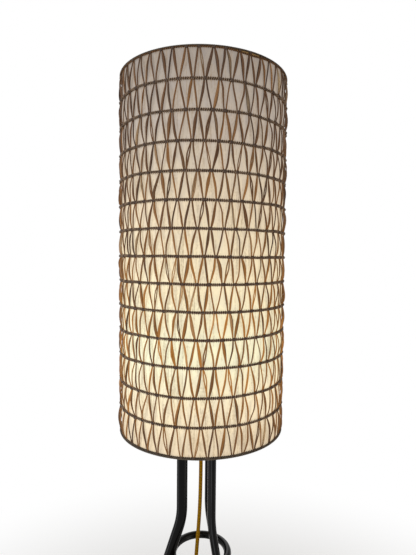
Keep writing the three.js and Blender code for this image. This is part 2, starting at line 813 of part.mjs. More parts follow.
const pinBore = prism(oval(boreWidth, boreWidth), -pinSocket, pinSocket + overrun, pinSides / 2)
  .rotateY(Math.PI / 2)
  .translate(plugFace, 0, 0);
piece('plug_body', fromSolid(
  toSolid(plugBlock)
    .add(toSolid(neck))
    .subtract(toSolid(pinBore.clone().translate(0, pinSpacing / 2, 0)))
    .subtract(toSolid(pinBore.clone().translate(0, -pinSpacing / 2, 0))),
), 'moulded', plug);
const pinBody = turned([
  [0, -pinSocket + seat],
  [pinWidth / 2, -pinSocket + seat],
  [pinWidth / 2, pinLength - pinWidth / 4],
  [pinWidth / 4, pinLength],
  [0, pinLength],
], pinSides).rotateY(Math.PI / 2);
for (const [name, side] of [['plug_pin_left', 1], ['plug_pin_right', -1]]) {
  piece(name, pinBody, 'zinc', plug).position.set(plugFace, (side * pinSpacing) / 2, 0);
}

// The origin is on the floor, midway between the lamp's outermost faces
const middle = new THREE.Box3().setFromObject(standing).getCenter(new THREE.Vector3());
lamp.position.set(-middle.x, -middle.y, 0);
console.log(`lamp axis at ${(-middle.x).toFixed(4)}, ${(-middle.y).toFixed(4)}`);

export default lamp;
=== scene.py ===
"""Rattan floor lamp: finishes, laced raffia, twine, flex and studio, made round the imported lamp."""

import math
import random

import bmesh
import bpy
from mathutils import Matrix, Vector


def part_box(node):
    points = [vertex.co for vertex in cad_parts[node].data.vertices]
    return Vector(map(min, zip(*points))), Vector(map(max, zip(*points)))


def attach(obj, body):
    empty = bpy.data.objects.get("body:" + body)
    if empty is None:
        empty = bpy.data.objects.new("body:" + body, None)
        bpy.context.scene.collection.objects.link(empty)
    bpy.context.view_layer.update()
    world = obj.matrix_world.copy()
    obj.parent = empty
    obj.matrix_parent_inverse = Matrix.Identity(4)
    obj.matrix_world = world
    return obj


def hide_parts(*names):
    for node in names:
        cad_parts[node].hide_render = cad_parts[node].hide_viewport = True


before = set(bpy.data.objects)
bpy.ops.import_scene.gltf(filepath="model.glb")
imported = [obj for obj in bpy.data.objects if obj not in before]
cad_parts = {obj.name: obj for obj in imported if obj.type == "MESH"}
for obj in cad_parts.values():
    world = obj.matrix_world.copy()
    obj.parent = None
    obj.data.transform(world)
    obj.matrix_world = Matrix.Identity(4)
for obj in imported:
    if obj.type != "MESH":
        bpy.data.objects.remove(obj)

bl_info = {
    "name": "Rattan Floor Lamp",
    "version": (1, 0, 0),
    "blender": (4, 5, 0),
    "location": "View3D > Sidebar > Lamp",
    "description": "Makes the laced shade, the flex, the stand's finishes and the studio",
    "category": "Object",
}

MM = 0.001
TURN = 2 * math.pi
SEED = 49
UP = Vector((0, 0, 1))

# The lamp's own lines, read from the frame
LINER_LOW, LINER_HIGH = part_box("shade_liner")
AXIS_X = (LINER_LOW.x + LINER_HIGH.x) / 2
LINER_RADIUS = (LINER_HIGH.y - LINER_LOW.y) / 2
TWINE_NODES = [f"twine_{number:02d}" for number in range(1, 14)]
LEG_SIDES = ("left", "front", "rear")
LEG_ANGLES = (math.pi, math.pi * 5 / 3, math.pi / 3)
ARM_ANGLES = (math.pi / 3, math.pi, math.pi * 5 / 3)


def box_middle(node):
    """Middle of a CAD node's box."""
    low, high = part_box(node)
    return (low + high) / 2


def box_size(node):
    """Size of a CAD node's box."""
    low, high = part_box(node)
    return high - low


def drum(node):
    """Lowest and highest z of a round CAD node, and its radius."""
    low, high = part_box(node)
    return low.z, high.z, (high.y - low.y) / 2


SHADE_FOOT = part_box("bottom_binding")[0].z
SHADE_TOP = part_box("top_binding")[1].z
RING_HEIGHTS = [
    box_middle("bottom_binding").z,
    *(box_middle(node).z for node in TWINE_NODES),
    box_middle("top_binding").z,
]
TWINE_THICK = box_size("twine_01").z
TWINE_RADIUS = box_size("twine_01").y / 2 - TWINE_THICK / 2

# The twine is drawn tight: it lies on the parchment and is flattened against it
TWINE_LINE = LINER_RADIUS + 1.9 * MM
TWINE_SQUEEZE = 0.78

# Air between pieces, the parchment's wall, the bore of washer and clamp ring, and half the flex
CLEARANCE = 0.2 * MM
LINER_WALL = 1.0 * MM
WASHER_BORE = 20.3 * MM
FLEX_REACH = 3.5 * MM


# Settings


def measure(name, description, default):
    """A setting in metres."""
    return bpy.props.FloatProperty(name=name, description=description, default=default, unit="LENGTH")


def bearing(name, description, default):
    """A setting in radians, shown in degrees."""
    return bpy.props.FloatProperty(name=name, description=description, default=default, subtype="ANGLE")


class StudioSettings(bpy.types.PropertyGroup):
    """Camera and light."""

    camera_distance: measure("Camera distance", "From the lamp's axis", 0.7889)
    camera_height: measure("Camera height", "Above the floor", 1.1882)
    camera_azimuth: bearing("Camera azimuth", "Round the lamp", math.radians(-4.80))
    camera_yaw: bearing("Camera yaw", "Away from the lamp's axis", -0.03818)
    camera_pitch: bearing("Camera pitch", "Below the horizon when negative", -0.04753)
    camera_roll: bearing("Camera roll", "About the line of sight", 0.01012)
    focal_px: bpy.props.FloatProperty(
        name="Focal length", description="In pixels of the photograph", default=428.2, subtype="PIXEL")
    axis_px: bpy.props.FloatProperty(
        name="Camera's axis", description="Rightwards from the picture's middle, in pixels",
        default=10.8, subtype="PIXEL")
    frame_px: bpy.props.FloatProperty(
        name="Frame", description="The photograph's long side in pixels", default=555.0, subtype="PIXEL")
    world_level: bpy.props.FloatProperty(
        name="World light", description="Strength of the light from all round", default=0.42)
    floor_radius: measure("Floor radius", "How far the floor reaches", 9.0)


class ShadeSettings(bpy.types.PropertyGroup):
    """The laced shade."""

    nodes_round: bpy.props.IntProperty(
        name="Nodes round", description="Knots on one ring", default=46)
    first_node: bearing("First node", "Where the lowest ring's first knot is", math.radians(2.72))
    row_drift: bearing("Drift of a row", "How far knots creep round from ring to ring", math.radians(0.105))
    node_wander: bearing("Wander of a knot", "How far a knot strays from its even place", math.radians(0.4))
    node_gap: measure("Gap at a knot", "Between the two ribbons that a knot pinches", 2.8 * MM)
    ribbon_width: measure("Ribbon width", "Widest part of a usual ribbon", 3.7 * MM)
    ribbon_pinch: measure("Pinched width", "Width of a ribbon at a knot", 2.1 * MM)
    ribbon_thick: measure("Ribbon thickness", "Through the rolled leaf", 1.6 * MM)
    ribbon_swell: measure("Swell", "How far a ribbon stands off between the rings", 3.0 * MM)
    split_share: bpy.props.FloatProperty(
        name="Split ribbons", description="Share of ribbons torn into two strands", default=0.2,
        subtype="FACTOR")
    twine_lay: measure("Twine lay", "Length of one full twist", 6.6 * MM)


class FlexSettings(bpy.types.PropertyGroup):
    """The textile flex."""

    width: measure("Flex width", "Across the braid", 7.0 * MM)
    colour: bpy.props.FloatVectorProperty(
        name="Flex colour", description="Mustard braid", default=(0.225, 0.108, 0.002), size=3,
        subtype="COLOR")


GROUPS = {"lamp_studio": StudioSettings, "lamp_shade": ShadeSettings, "lamp_flex": FlexSettings}


# Shader expressions


class Wire:
    """A number socket that takes part in sums."""

    def __init__(self, finish, socket):
        self.finish = finish
        self.socket = socket

    def math(self, operation, *values):
        return self.finish.node("ShaderNodeMath", {"operation": operation}, *values)[0]

    def __add__(self, other):
        return self.math("ADD", self, other)

    __radd__ = __add__

    def __mul__(self, other):
        return self.math("MULTIPLY", self, other)

    __rmul__ = __mul__

    def __sub__(self, other):
        return self.math("SUBTRACT", self, other)

    def __rsub__(self, other):
        return self.math("SUBTRACT", other, self)

    def __pow__(self, other):
        return self.math("POWER", self, other)

    def sine(self):
        return self.math("SINE", self)

    def at_least(self, other):
        return self.math("MAXIMUM", self, other)

    def step(self, low, high):
        """Smooth 0 to 1 between two values."""
        return self.finish.node(
            "ShaderNodeMapRange", {"interpolation_type": "SMOOTHSTEP"}, self, low, high, 0.0, 1.0)[0]


class Nodes:
    """A node tree, written as expressions."""

    def __init__(self, tree):
        self.tree = tree

    def node(self, kind, settings, *inputs, **named):
        """Adds a node: its settings first, then its inputs in order or by name; gives its outputs."""
        made = self.tree.nodes.new(kind)
        stops = settings.pop("stops", None)
        for key, value in settings.items():
            setattr(made, key, value)
        if stops:
            ramp = made.color_ramp
            while len(ramp.elements) < len(stops):
                ramp.elements.new(1.0)
            for element, (place, colour) in zip(ramp.elements, stops):
                element.position = place
                element.color = colour if len(colour) == 4 else (*colour, 1.0)
        for place, value in [*enumerate(inputs), *named.items()]:
            socket = made.inputs[place if isinstance(place, int) else place.replace("_", " ")]
            self.feed(socket, value)
        return [Wire(self, socket) for socket in made.outputs if socket.enabled]

    def feed(self, socket, value):
        """A link or a plain value into a socket."""
        if value is None:
            return
        if isinstance(value, Wire):
            self.tree.links.new(value.socket, socket)
        elif isinstance(value, (tuple, list)) and len(value) == 3 and socket.type == "RGBA":
            socket.default_value = (*value, 1.0)
        else:
            socket.default_value = value

    def seen_straight(self):
        """1 for a ray from the camera, a mirror or glass, and 0 for light that falls on things."""
        path = {wire.socket.name: wire for wire in self.node("ShaderNodeLightPath", {})}
        return path["Is Camera Ray"].at_least(path["Is Glossy Ray"]).at_least(path["Is Transmission Ray"])


class Finish(Nodes):
    """A material and its node tree."""

    def __init__(self, name, **values):
        self.material = bpy.data.materials.new(f"{name}_finish")
        self.material.use_nodes = True
        super().__init__(self.material.node_tree)
        self.shader = self.tree.nodes["Principled BSDF"]
        self.set(**values)

    def set(self, **values):
        """Sets the surface's sockets; spaces in their names are written as underscores."""
        for name, value in values.items():
            self.feed(self.shader.inputs[name.replace("_", " ")], value)

    def done(self, **values):
        """Sets the last sockets and gives the material."""
        self.set(**values)
        return self.material

    def place(self, scale=(1, 1, 1), shift=(0, 0, 0)):
        """Object coordinates through a mapping."""
        source = self.node("ShaderNodeTexCoord", {})[3]
        return self.node("ShaderNodeMapping", {}, Vector=source, Location=shift, Scale=scale)[0]

    def axes(self, vector):
        """The three numbers of a vector."""
        return self.node("ShaderNodeSeparateXYZ", {}, vector)

    def noise(self, scale, detail, roughness):
        """Noise on object coordinates. A scale of three numbers stretches it."""
        stretched = isinstance(scale, tuple)
        vector = self.place(scale=scale) if stretched else self.place()
        return self.node(
            "ShaderNodeTexNoise", {}, Vector=vector, Scale=1.0 if stretched else scale, Detail=detail,
            Roughness=roughness)[0]

    def ramp(self, factor, *stops):
        """A colour looked up between stops of (place, colour)."""
        return self.node("ShaderNodeValToRGB", {"stops": stops}, factor)[0]

    def tint(self, first, second):
        """One colour times another."""
        return self.mix(1.0, first, second, "MULTIPLY")

    def mix(self, factor, first, second, blend="MIX"):
        """The second colour over the first, by a factor."""
        made = self.tree.nodes.new("ShaderNodeMix")
        made.data_type = "RGBA"
        made.blend_type = blend
        for name, value in (("Factor_Float", factor), ("A_Color", first), ("B_Color", second)):
            socket = next(entry for entry in made.inputs if entry.identifier == name)
            self.feed(socket, value)
        return Wire(self, next(entry for entry in made.outputs if entry.identifier == "Result_Color"))

    def bump(self, height, distance, strength=1.0):
        return self.node(
            "ShaderNodeBump", {}, Strength=strength, Distance=distance, Height=height)[0]

    def strand(self):
        """What a piece's strand attribute holds: tone, edge (how much painted shade a rolled edge gets), film
        (pale thin spots, partly painted light shining through) and place along.
        """
        colour = self.node("ShaderNodeAttribute", {"attribute_name": "strand"})
        tone, edge, film = self.node("ShaderNodeSeparateColor", {}, colour[0])
        return tone, edge, film, colour[3]


def shade_of(red, green, blue):
    """A display colour, 0 to 255, as light."""
    return tuple(
        part / 12.92 if part <= 0.04045 else ((part + 0.055) / 1.055) ** 2.4
        for part in (red / 255, green / 255, blue / 255)
    )


# Mesh helpers

MERGE_DISTANCE = 1e-6


def held(value, low, high):
    """A value kept between two others."""
    return min(max(value, low), high)


def eased(value, low, high):
    """0 to 1 between two values, slow at both ends."""
    share = held((value - low) / (high - low), 0.0, 1.0)
    return share * share * (3 - 2 * share)


def sheet_rolled(bm, rings, sides, place, ring_closed=False):
    """Rolls a grid into a tube. place(along, around) gives a point, both from 0 to 1."""
    bm.loops.layers.uv.verify()
    made = bmesh.ops.create_grid(bm, x_segments=rings, y_segments=sides, size=1.0, calc_uvs=True)["verts"]
    for vert in made:
        vert.co = place((vert.co.x + 1) / 2, (vert.co.y + 1) / 2)
    bmesh.ops.remove_doubles(bm, verts=made, dist=MERGE_DISTANCE)
    if not ring_closed:
        open_edges = [edge for edge in bm.edges if edge.is_boundary]
        bmesh.ops.holes_fill(bm, edges=open_edges, sides=0)


def turned(bm, outline, steps, centre=(0.0, 0.0)):
    """Turns an outline of (radius, height) about an upright line. One that ends where it starts closes."""
    points = outline[:-1] if outline[0] == outline[-1] else outline
    verts = [bm.verts.new((radius, 0.0, height)) for radius, height in points]
    edges = [bm.edges.new(pair) for pair in zip(verts, verts[1:])]
    if len(points) < len(outline):
        edges.append(bm.edges.new((verts[-1], verts[0])))
    bmesh.ops.spin(
        bm, geom=[*verts, *edges], cent=(0, 0, 0), axis=(0, 0, 1), angle=TURN, steps=steps, use_merge=True)
    bmesh.ops.remove_doubles(bm, verts=bm.verts, dist=MERGE_DISTANCE)
    bmesh.ops.translate(bm, verts=bm.verts, vec=(*centre, 0.0))


def rounded(points, width, segments=3):
    """An outline whose inner corners are rounded; the first and last points stay."""
    made = [points[0]]
    for before, corner, after in zip(points, points[1:], points[2:]):
        before, corner, after = Vector(before), Vector(corner), Vector(after)
        back, ahead = before - corner, after - corner
        reach = min(width, back.length * 0.45, ahead.length * 0.45)
        start, end = corner + back.normalized() * reach, corner + ahead.normalized() * reach
        for step in range(segments + 1):
            share = step / segments
            made.append(tuple(
                start * (1 - share) ** 2 + corner * 2 * share * (1 - share) + end * share ** 2))
    made.append(points[-1])
    return made


def mesh_of(name, bm):
    """The mesh of a bmesh, which is freed."""
    mesh = bpy.data.meshes.new(name)
    bm.to_mesh(mesh)
    bm.free()
    return mesh


def finished(name, bm, body, slot, replaced=(), finish=None, smooth_angle=40.0):
    """Makes a piece of the mesh, with its place in it, on its body. It has its slot's finish or another."""
    bmesh.ops.recalc_face_normals(bm, faces=bm.faces)
    mesh = mesh_of(name, bm)
    mesh.shade_smooth()
    if smooth_angle is not None:
        mesh.set_sharp_from_angle(angle=math.radians(smooth_angle))
    piece = bpy.data.objects.new(name, mesh)
    bpy.context.scene.collection.objects.link(piece)
    mesh.materials.append(finish_of(finish or slot))
    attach(piece, body)
    if replaced:
        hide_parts(*replaced)
    return piece


def turned_piece(name, outline, steps, body, slot, node, centre=(AXIS_X, 0.0)):
    """A piece turned about the lamp's axis or another upright line."""
    bm = bmesh.new()
    turned(bm, outline, steps, centre)
    finished(name, bm, body, slot, [node])


def rolled_piece(name, rings, sides, place, body, slot, replaced=(), ring_closed=False, **finishing):
    """A piece that is one rolled sheet."""
    bm = bmesh.new()
    sheet_rolled(bm, rings, sides, place, ring_closed)
    finished(name, bm, body, slot, replaced, **finishing)


def round_hoop(name, node, rings, sides, body, slot):
    """A hoop of round rod that fills a CAD node's box."""
    low, high, outside = drum(node)
    middle, thick = (low + high) / 2, (high - low) / 2

    def place(along, around):
        section = TURN * around
        return on_ring(
            TURN * along, outside - thick + thick * math.cos(section), middle + thick * math.sin(section))

    rolled_piece(name, rings, sides, place, body, slot, [node], ring_closed=True)


def dressed(finish, *nodes):
    """Gives CAD nodes a finish."""
    for node in nodes:
        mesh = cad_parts[node].data
        mesh.materials.clear()
        mesh.materials.append(finish_of(finish))


def outward_of(angle):
    """The level direction away from the lamp's axis."""
    return Vector((math.cos(angle), math.sin(angle), 0.0))


def on_ring(angle, radius, height):
    """A point round the lamp's axis."""
    return Vector((AXIS_X + radius * math.cos(angle), radius * math.sin(angle), height))


def smooth_route(points, spacing):
    """Points about a spacing apart, on a centripetal spline through the given ones."""
    ghosts = [points[0] * 2 - points[1], *points, points[-1] * 2 - points[-2]]
    route = []
    for before, start, end, after in zip(ghosts, ghosts[1:], ghosts[2:], ghosts[3:]):
        gaps = [max((b - a).length, 1e-9) ** 0.5 for a, b in ((before, start), (start, end), (end, after))]
        leave = ((start - before) / gaps[0] - (end - before) / (gaps[0] + gaps[1])
                 + (end - start) / gaps[1]) * gaps[1]
        reach = ((end - start) / gaps[1] - (after - start) / (gaps[1] + gaps[2])
                 + (after - end) / gaps[2]) * gaps[1]
        steps = max(2, round((end - start).length / spacing))
        for step in range(steps):
            share = step / steps
            square, cube = share ** 2, share ** 3
            route.append(
                start * (2 * cube - 3 * square + 1) + leave * (cube - 2 * square + share)
                + end * (3 * square - 2 * cube) + reach * (cube - square))
    route.append(points[-1])
    return route


def node_angle(shade, row, number):
    """Where a knot is on its ring: half a pitch on at every other ring."""
    pitch = TURN / shade.nodes_round
    stray = shade.node_wander * math.sin(row * 12.9898 + number % shade.nodes_round * 78.233)
    return shade.first_node + shade.row_drift * row + (number + row % 2 / 2) * pitch + stray


def length_of(route):
    """How long a route is."""
    return sum((b - a).length for a, b in zip(route, route[1:]))


def tube_along(bm, route, radius, sides):
    """A closed tube round a route. Its UV x counts the flex's girths, so that a braid isn't stretched."""
    girths = length_of(route) / (TURN * FLEX_REACH)
    last = len(route) - 1
    tangents = [
        (route[min(index + 1, last)] - route[max(index - 1, 0)]).normalized() for index in range(last + 1)]
    across = []
    side = tangents[0].orthogonal().normalized()
    for index, tangent in enumerate(tangents):
        if index:
            side = tangents[index - 1].rotation_difference(tangent) @ side
            side = (side - tangent * side.dot(tangent)).normalized()
        across.append((side.copy(), tangent.cross(side)))

    def place(along, around):
        index = round(along * last)
        right, up = across[index]
        angle = TURN * around
        return route[index] + right * (math.cos(angle) * radius) + up * (math.sin(angle) * radius)

    sheet_rolled(bm, last, sides, place)
    uv = bm.loops.layers.uv.verify()
    for face in bm.faces:
        if len(face.verts) == 4:
            for loop in face.loops:
                loop[uv].uv.x *= girths


# Finishes


def level_in_shade(finish):
    """How high in the shade a spot is, 0 at the bottom rim and 1 at the top."""
    height = finish.axes(finish.place())[2]
    return finish.node("ShaderNodeMapRange", {}, height, SHADE_FOOT, SHADE_TOP, 0.0, 1.0)[0]


def liner_finish():
    """Parchment with the bulb's light through it painted on as glow and colour: brightest round the bulb,
    greyer towards the top, with upright fibres.
    """
    finish = Finish("parchment", Roughness=0.8, Specular_IOR_Level=0.15, Emission_Strength=0.76)
    # Painted glow: the bulb's light through the parchment, set by height in the shade
    painted_glow = finish.ramp(
        level_in_shade(finish),
        (0.0, shade_of(232, 211, 178)), (0.12, shade_of(254, 237, 200)), (0.26, shade_of(255, 250, 212)),
        (0.42, shade_of(254, 238, 199)), (0.62, shade_of(233, 214, 183)), (0.82, shade_of(192, 179, 164)),
        (1.0, shade_of(163, 152, 141)))
    fibres = finish.noise((300, 300, 14), 3.0, 0.65)
    pulp = finish.noise((420, 420, 260), 2.0, 0.6)
    cloud = finish.noise((26, 26, 12), 2.0, 0.5)
    # Mottle of fibres and pulp in the parchment, darker in patches
    fibre_mottle = ((fibres - 0.5) * 1.9 + (pulp - 0.5) * 1.0 + (cloud - 0.5) * 0.7).at_least(0.0)
    cool = finish.noise((150, 150, 60), 1.0, 0.5).step(0.42, 0.62)
    greyer = finish.tint(painted_glow, (0.93, 0.94, 0.98))
    painted_glow_mottled = finish.mix(fibre_mottle, finish.mix(cool, painted_glow, greyer), shade_of(150, 122, 88))
    # The base colour is the painted glow darkened, and the emission paints the rest of the glow on top
    unlit = finish.mix(0.66, painted_glow_mottled, (0.0, 0.0, 0.0))
    finish.set(Base_Color=unlit, Emission_Color=painted_glow_mottled)
    return finish.done(Normal=finish.bump(fibres + pulp * 0.5, 0.15 * MM, 0.5))


def raffia_finish():
    """Leaf ribbon: painted shade on its rolled edges, a brown core, pale straw where it is torn thin (partly
    its own colour, partly painted light shining through), and a painted amber glow by the bulb.
    """
    finish = Finish("raffia", Roughness=0.6, Specular_IOR_Level=0.25, Emission_Strength=1.0)
    tone, edge, film, _ = finish.strand()
    grain = finish.noise((1100, 1100, 70), 3.0, 0.65)
    leaf = finish.ramp(
        tone, (0.0, shade_of(62, 43, 31)), (0.5, shade_of(89, 61, 38)), (1.0, shade_of(146, 103, 58)))
    # Pale straw where a ribbon is torn thin: partly its own colour, partly painted light shining through
    pale = finish.mix(film, leaf, shade_of(192, 170, 134))
    # Painted shade on the rolled edges, darker on one side of a ribbon than on the other
    rim = (edge + grain * 0.6 - 0.3).step(0.2, 0.95)
    with_edge_shade = finish.mix(rim * 0.9, pale, shade_of(48, 32, 21))
    streaked = finish.mix((grain - 0.52).at_least(0.0) * 2.0, with_edge_shade, shade_of(58, 38, 22))
    # Painted glow: the bulb's light through the ribbons, amber and strongest by the bulb
    painted_amber_glow = finish.ramp(
        level_in_shade(finish), (0.0, (0.07, 0.028, 0.003)), (0.12, (0.2, 0.076, 0.006)),
        (0.28, (0.29, 0.11, 0.008)), (0.6, (0.07, 0.027, 0.003)), (1.0, (0.016, 0.006, 0.001)))
    # The painted glow is weaker on the shaded edges and on darker ribbons
    lit = finish.mix((1.0 - rim * 0.85) * (tone + 0.45), (0.0, 0.0, 0.0), painted_amber_glow)
    finish.set(Base_Color=streaked, Emission_Color=lit)
    return finish.done(Normal=finish.bump(grain, 0.25 * MM, 0.7))


def twine_finish(name, light, dark):
    """Twisted twine: fibres over a dark core."""
    finish = Finish(name, Roughness=0.82, Specular_IOR_Level=0.2)
    fibres = finish.noise((1500, 1500, 1500), 2.0, 0.6)
    patches = finish.noise((60, 60, 60), 2.0, 0.5)
    finish.set(Base_Color=finish.mix(fibres * 0.7 + patches * 0.5 - 0.1, dark, light))
    return finish.done(Normal=finish.bump(fibres, 0.2 * MM, 0.7))


def plied_finish(name, light, dark):
    """Twine of two plies: painted light on each ply's crown and painted shade where it meets the other."""
    finish = Finish(name, Roughness=0.85, Specular_IOR_Level=0.12)
    around = finish.axes(finish.node("ShaderNodeTexCoord", {})[2])[1]
    # Painted light and shade round each ply: light on its crown, dark in the groove between the plies
    painted_crown_light = ((around * TURN + math.pi / 2).sine() + 1.0) * 0.5
    fibres = finish.noise(1500.0, 2.0, 0.6)
    blotches = finish.noise(230.0, 2.0, 0.6)
    # Painted crown light and groove shade, mixed with the fibres and blotches
    cover = painted_crown_light * 0.9 + fibres * 0.4 + blotches * 1.4 - 0.95
    finish.set(Base_Color=finish.mix(cover.at_least(0.0), dark, light))
    return finish.done(Normal=finish.bump(fibres, 0.2 * MM, 0.7))


def lacquer_finish():
    """Glossy black lacquer with a faint orange peel and rubbed spots."""
    finish = Finish("black_lacquer", Specular_IOR_Level=0.1)
    peel = finish.noise(420.0, 1.0, 0.5)
    wear = finish.noise(34.0, 4.0, 0.65).step(0.6, 0.75)
    finish.set(Base_Color=finish.mix(wear * 0.5, shade_of(7, 6, 6), shade_of(20, 18, 16)))
    return finish.done(Roughness=wear * 0.12 + 0.17, Normal=finish.bump(peel, 0.03 * MM, 0.12))


def moulded_finish(name, colour, roughness, grain_scale=900.0):
    """Moulded plastic or rubber with a fine grain."""
    finish = Finish(name)
    grain = finish.noise(grain_scale, 2.0, 0.6)
    patches = finish.noise(45.0, 2.0, 0.5)
    lighter = tuple(part * 1.8 + 0.004 for part in colour)
    finish.set(Base_Color=finish.mix(patches * 0.6, colour, lighter))
    return finish.done(Roughness=patches * 0.16 + (roughness - 0.08), Normal=finish.bump(grain, 0.06 * MM, 0.4))


def metal_finish(name, colour, roughness, turned_marks=0.0):
    """Plated metal with fine marks."""
    finish = Finish(name, Metallic=1.0)
    marks = finish.noise((300, 300, 300 + turned_marks), 3.0, 0.6)
    dull = tuple(part * 0.72 for part in colour)
    finish.set(Base_Color=finish.mix(marks * 0.6, colour, dull))
    return finish.done(Roughness=marks * 0.2 + (roughness - 0.1), Normal=finish.bump(marks, 0.04 * MM, 0.3))


def painted_wire_finish():
    """Cream painted wire."""
    finish = Finish("rim_wire")
    patches = finish.noise(90.0, 3.0, 0.6)
    finish.set(Base_Color=finish.mix(patches * 0.7, shade_of(222, 214, 196), shade_of(190, 180, 160)))
    return finish.done(Roughness=patches * 0.2 + 0.35, Normal=finish.bump(patches, 0.05 * MM, 0.3))


def ceramic_finish():
    """White glazed ceramic."""
    finish = Finish("ceramic", Coat_Weight=0.4, Coat_Roughness=0.1)
    specks = finish.noise(700.0, 2.0, 0.6)
    speckled = finish.mix(specks.step(0.62, 0.7), shade_of(232, 229, 220), shade_of(196, 190, 176))
    finish.set(Base_Color=speckled)
    return finish.done(Roughness=specks * 0.15 + 0.22)


def opal_finish():
    """Opal glass, lit from inside, a little darker at the neck."""
    finish = Finish("opal_glass", Roughness=0.18, Coat_Weight=0.5, Emission_Strength=0.85)
    low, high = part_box("bulb_globe")
    level = finish.axes(finish.place())[2].step(low.z, high.z)
    cloud = finish.noise(60.0, 2.0, 0.5)
    lit = finish.mix(level * 0.8 + cloud * 0.3, shade_of(246, 222, 176), shade_of(255, 247, 226))
    return finish.done(Base_Color=lit, Emission_Color=lit)


def flex_finish(colour):
    """Braided textile: two families of yarns that cross."""
    finish = Finish("flex_textile", Roughness=0.9, Specular_IOR_Level=0.06)
    along, around, _ = finish.axes(finish.node("ShaderNodeTexCoord", {})[2])
    left = ((along * 2.0 + around * 8.0) * TURN).sine()
    right = ((along * 2.0 - around * 8.0) * TURN).sine()
    braid = (left * right + 1.0) * 0.5
    yarns = finish.noise(2500.0, 2.0, 0.6)
    dark = tuple(part * 0.5 for part in colour)
    light = tuple(part * 1.3 for part in colour)
    finish.set(Base_Color=finish.mix(braid * 0.75 + yarns * 0.4 - 0.1, dark, light))
    return finish.done(Normal=finish.bump(braid + yarns * 0.3, 0.35 * MM, 0.8))


def strap_finish():
    """Woven black strap."""
    finish = Finish("tie_strap", Roughness=0.9, Sheen_Weight=0.3)
    x, y, z = finish.axes(finish.place(scale=(1800, 1800, 1800)))
    weave = (x.sine() * z.sine() + y.sine() * 0.5 + 1.5) * 0.33
    finish.set(Base_Color=finish.mix(weave, shade_of(20, 20, 21), shade_of(52, 51, 50)))
    return finish.done(Normal=finish.bump(weave, 0.15 * MM, 0.6))


FINISH_MAKERS = {
    "parchment": liner_finish,
    "raffia": raffia_finish,
    # For the twines, the first colour is the painted light on a ply's crown and the second the painted shade in
    # the groove between plies
    "twine": lambda: plied_finish("twine", shade_of(144, 120, 98), shade_of(22, 16, 14)),
    "rim_twine": lambda: plied_finish("rim_twine", shade_of(122, 88, 58), shade_of(36, 24, 17)),
    "rim_twine_grey": lambda: plied_finish("rim_twine_grey", shade_of(104, 91, 77), shade_of(34, 29, 25)),
    "rim_band": lambda: twine_finish("rim_band", shade_of(188, 156, 104), shade_of(128, 96, 56)),
    "knot": lambda: twine_finish("knot", shade_of(98, 80, 68), shade_of(40, 31, 27)),
    "binding": lambda: twine_finish("binding", shade_of(97, 87, 74), shade_of(52, 46, 39)),
    "black_lacquer": lacquer_finish,
    "rubber": lambda: moulded_finish("rubber", shade_of(20, 20, 20), 0.8),
    "zinc": lambda: metal_finish("zinc", shade_of(196, 198, 200), 0.38),
    "brass": lambda: metal_finish("brass", shade_of(206, 168, 96), 0.34),
    "rim_wire": painted_wire_finish,
    "holder_plastic": lambda: moulded_finish("holder_plastic", shade_of(34, 34, 35), 0.42),
    "ceramic": ceramic_finish,
    "bulb_metal": lambda: metal_finish("bulb_metal", shade_of(206, 206, 206), 0.26, 400.0),
    "opal_glass": opal_finish,
    "flex_textile": lambda: flex_finish(tuple(bpy.context.scene.lamp_flex.colour)),
    "tie_strap": strap_finish,
    "switch_plastic": lambda: moulded_finish("switch_plastic", shade_of(16, 16, 17), 0.34),
    "button_plastic": lambda: moulded_finish("button_plastic", shade_of(32, 32, 33), 0.38),
    "plug_plastic": lambda: moulded_finish("plug_plastic", shade_of(18, 18, 19), 0.5),
    "pin_metal": lambda: metal_finish("pin_metal", shade_of(214, 208, 190), 0.24, 300.0),
}


def finish_of(name):
    """A finish by its name, made once."""
    return bpy.data.materials.get(f"{name}_finish") or FINISH_MAKERS[name]()


# Studio

# Between these distances from the lamp's axis, in metres, the floor turns white
FLOOR_FADE = (0.45, 1.5)


def soft_light(name, place, target, width, height, power, colour):
    """An area light that looks at a point."""
    light = bpy.data.lights.new(name, "AREA")
    light.shape = "RECTANGLE"
    light.size, light.size_y = width, height
    light.energy = power
    light.color = colour
    lamp = bpy.data.objects.new(name, light)
    bpy.context.scene.collection.objects.link(lamp)
    lamp.location = place
    lamp.rotation_euler = (Vector(target) - Vector(place)).to_track_quat("-Z", "Y").to_euler()
    lamp.visible_camera = False


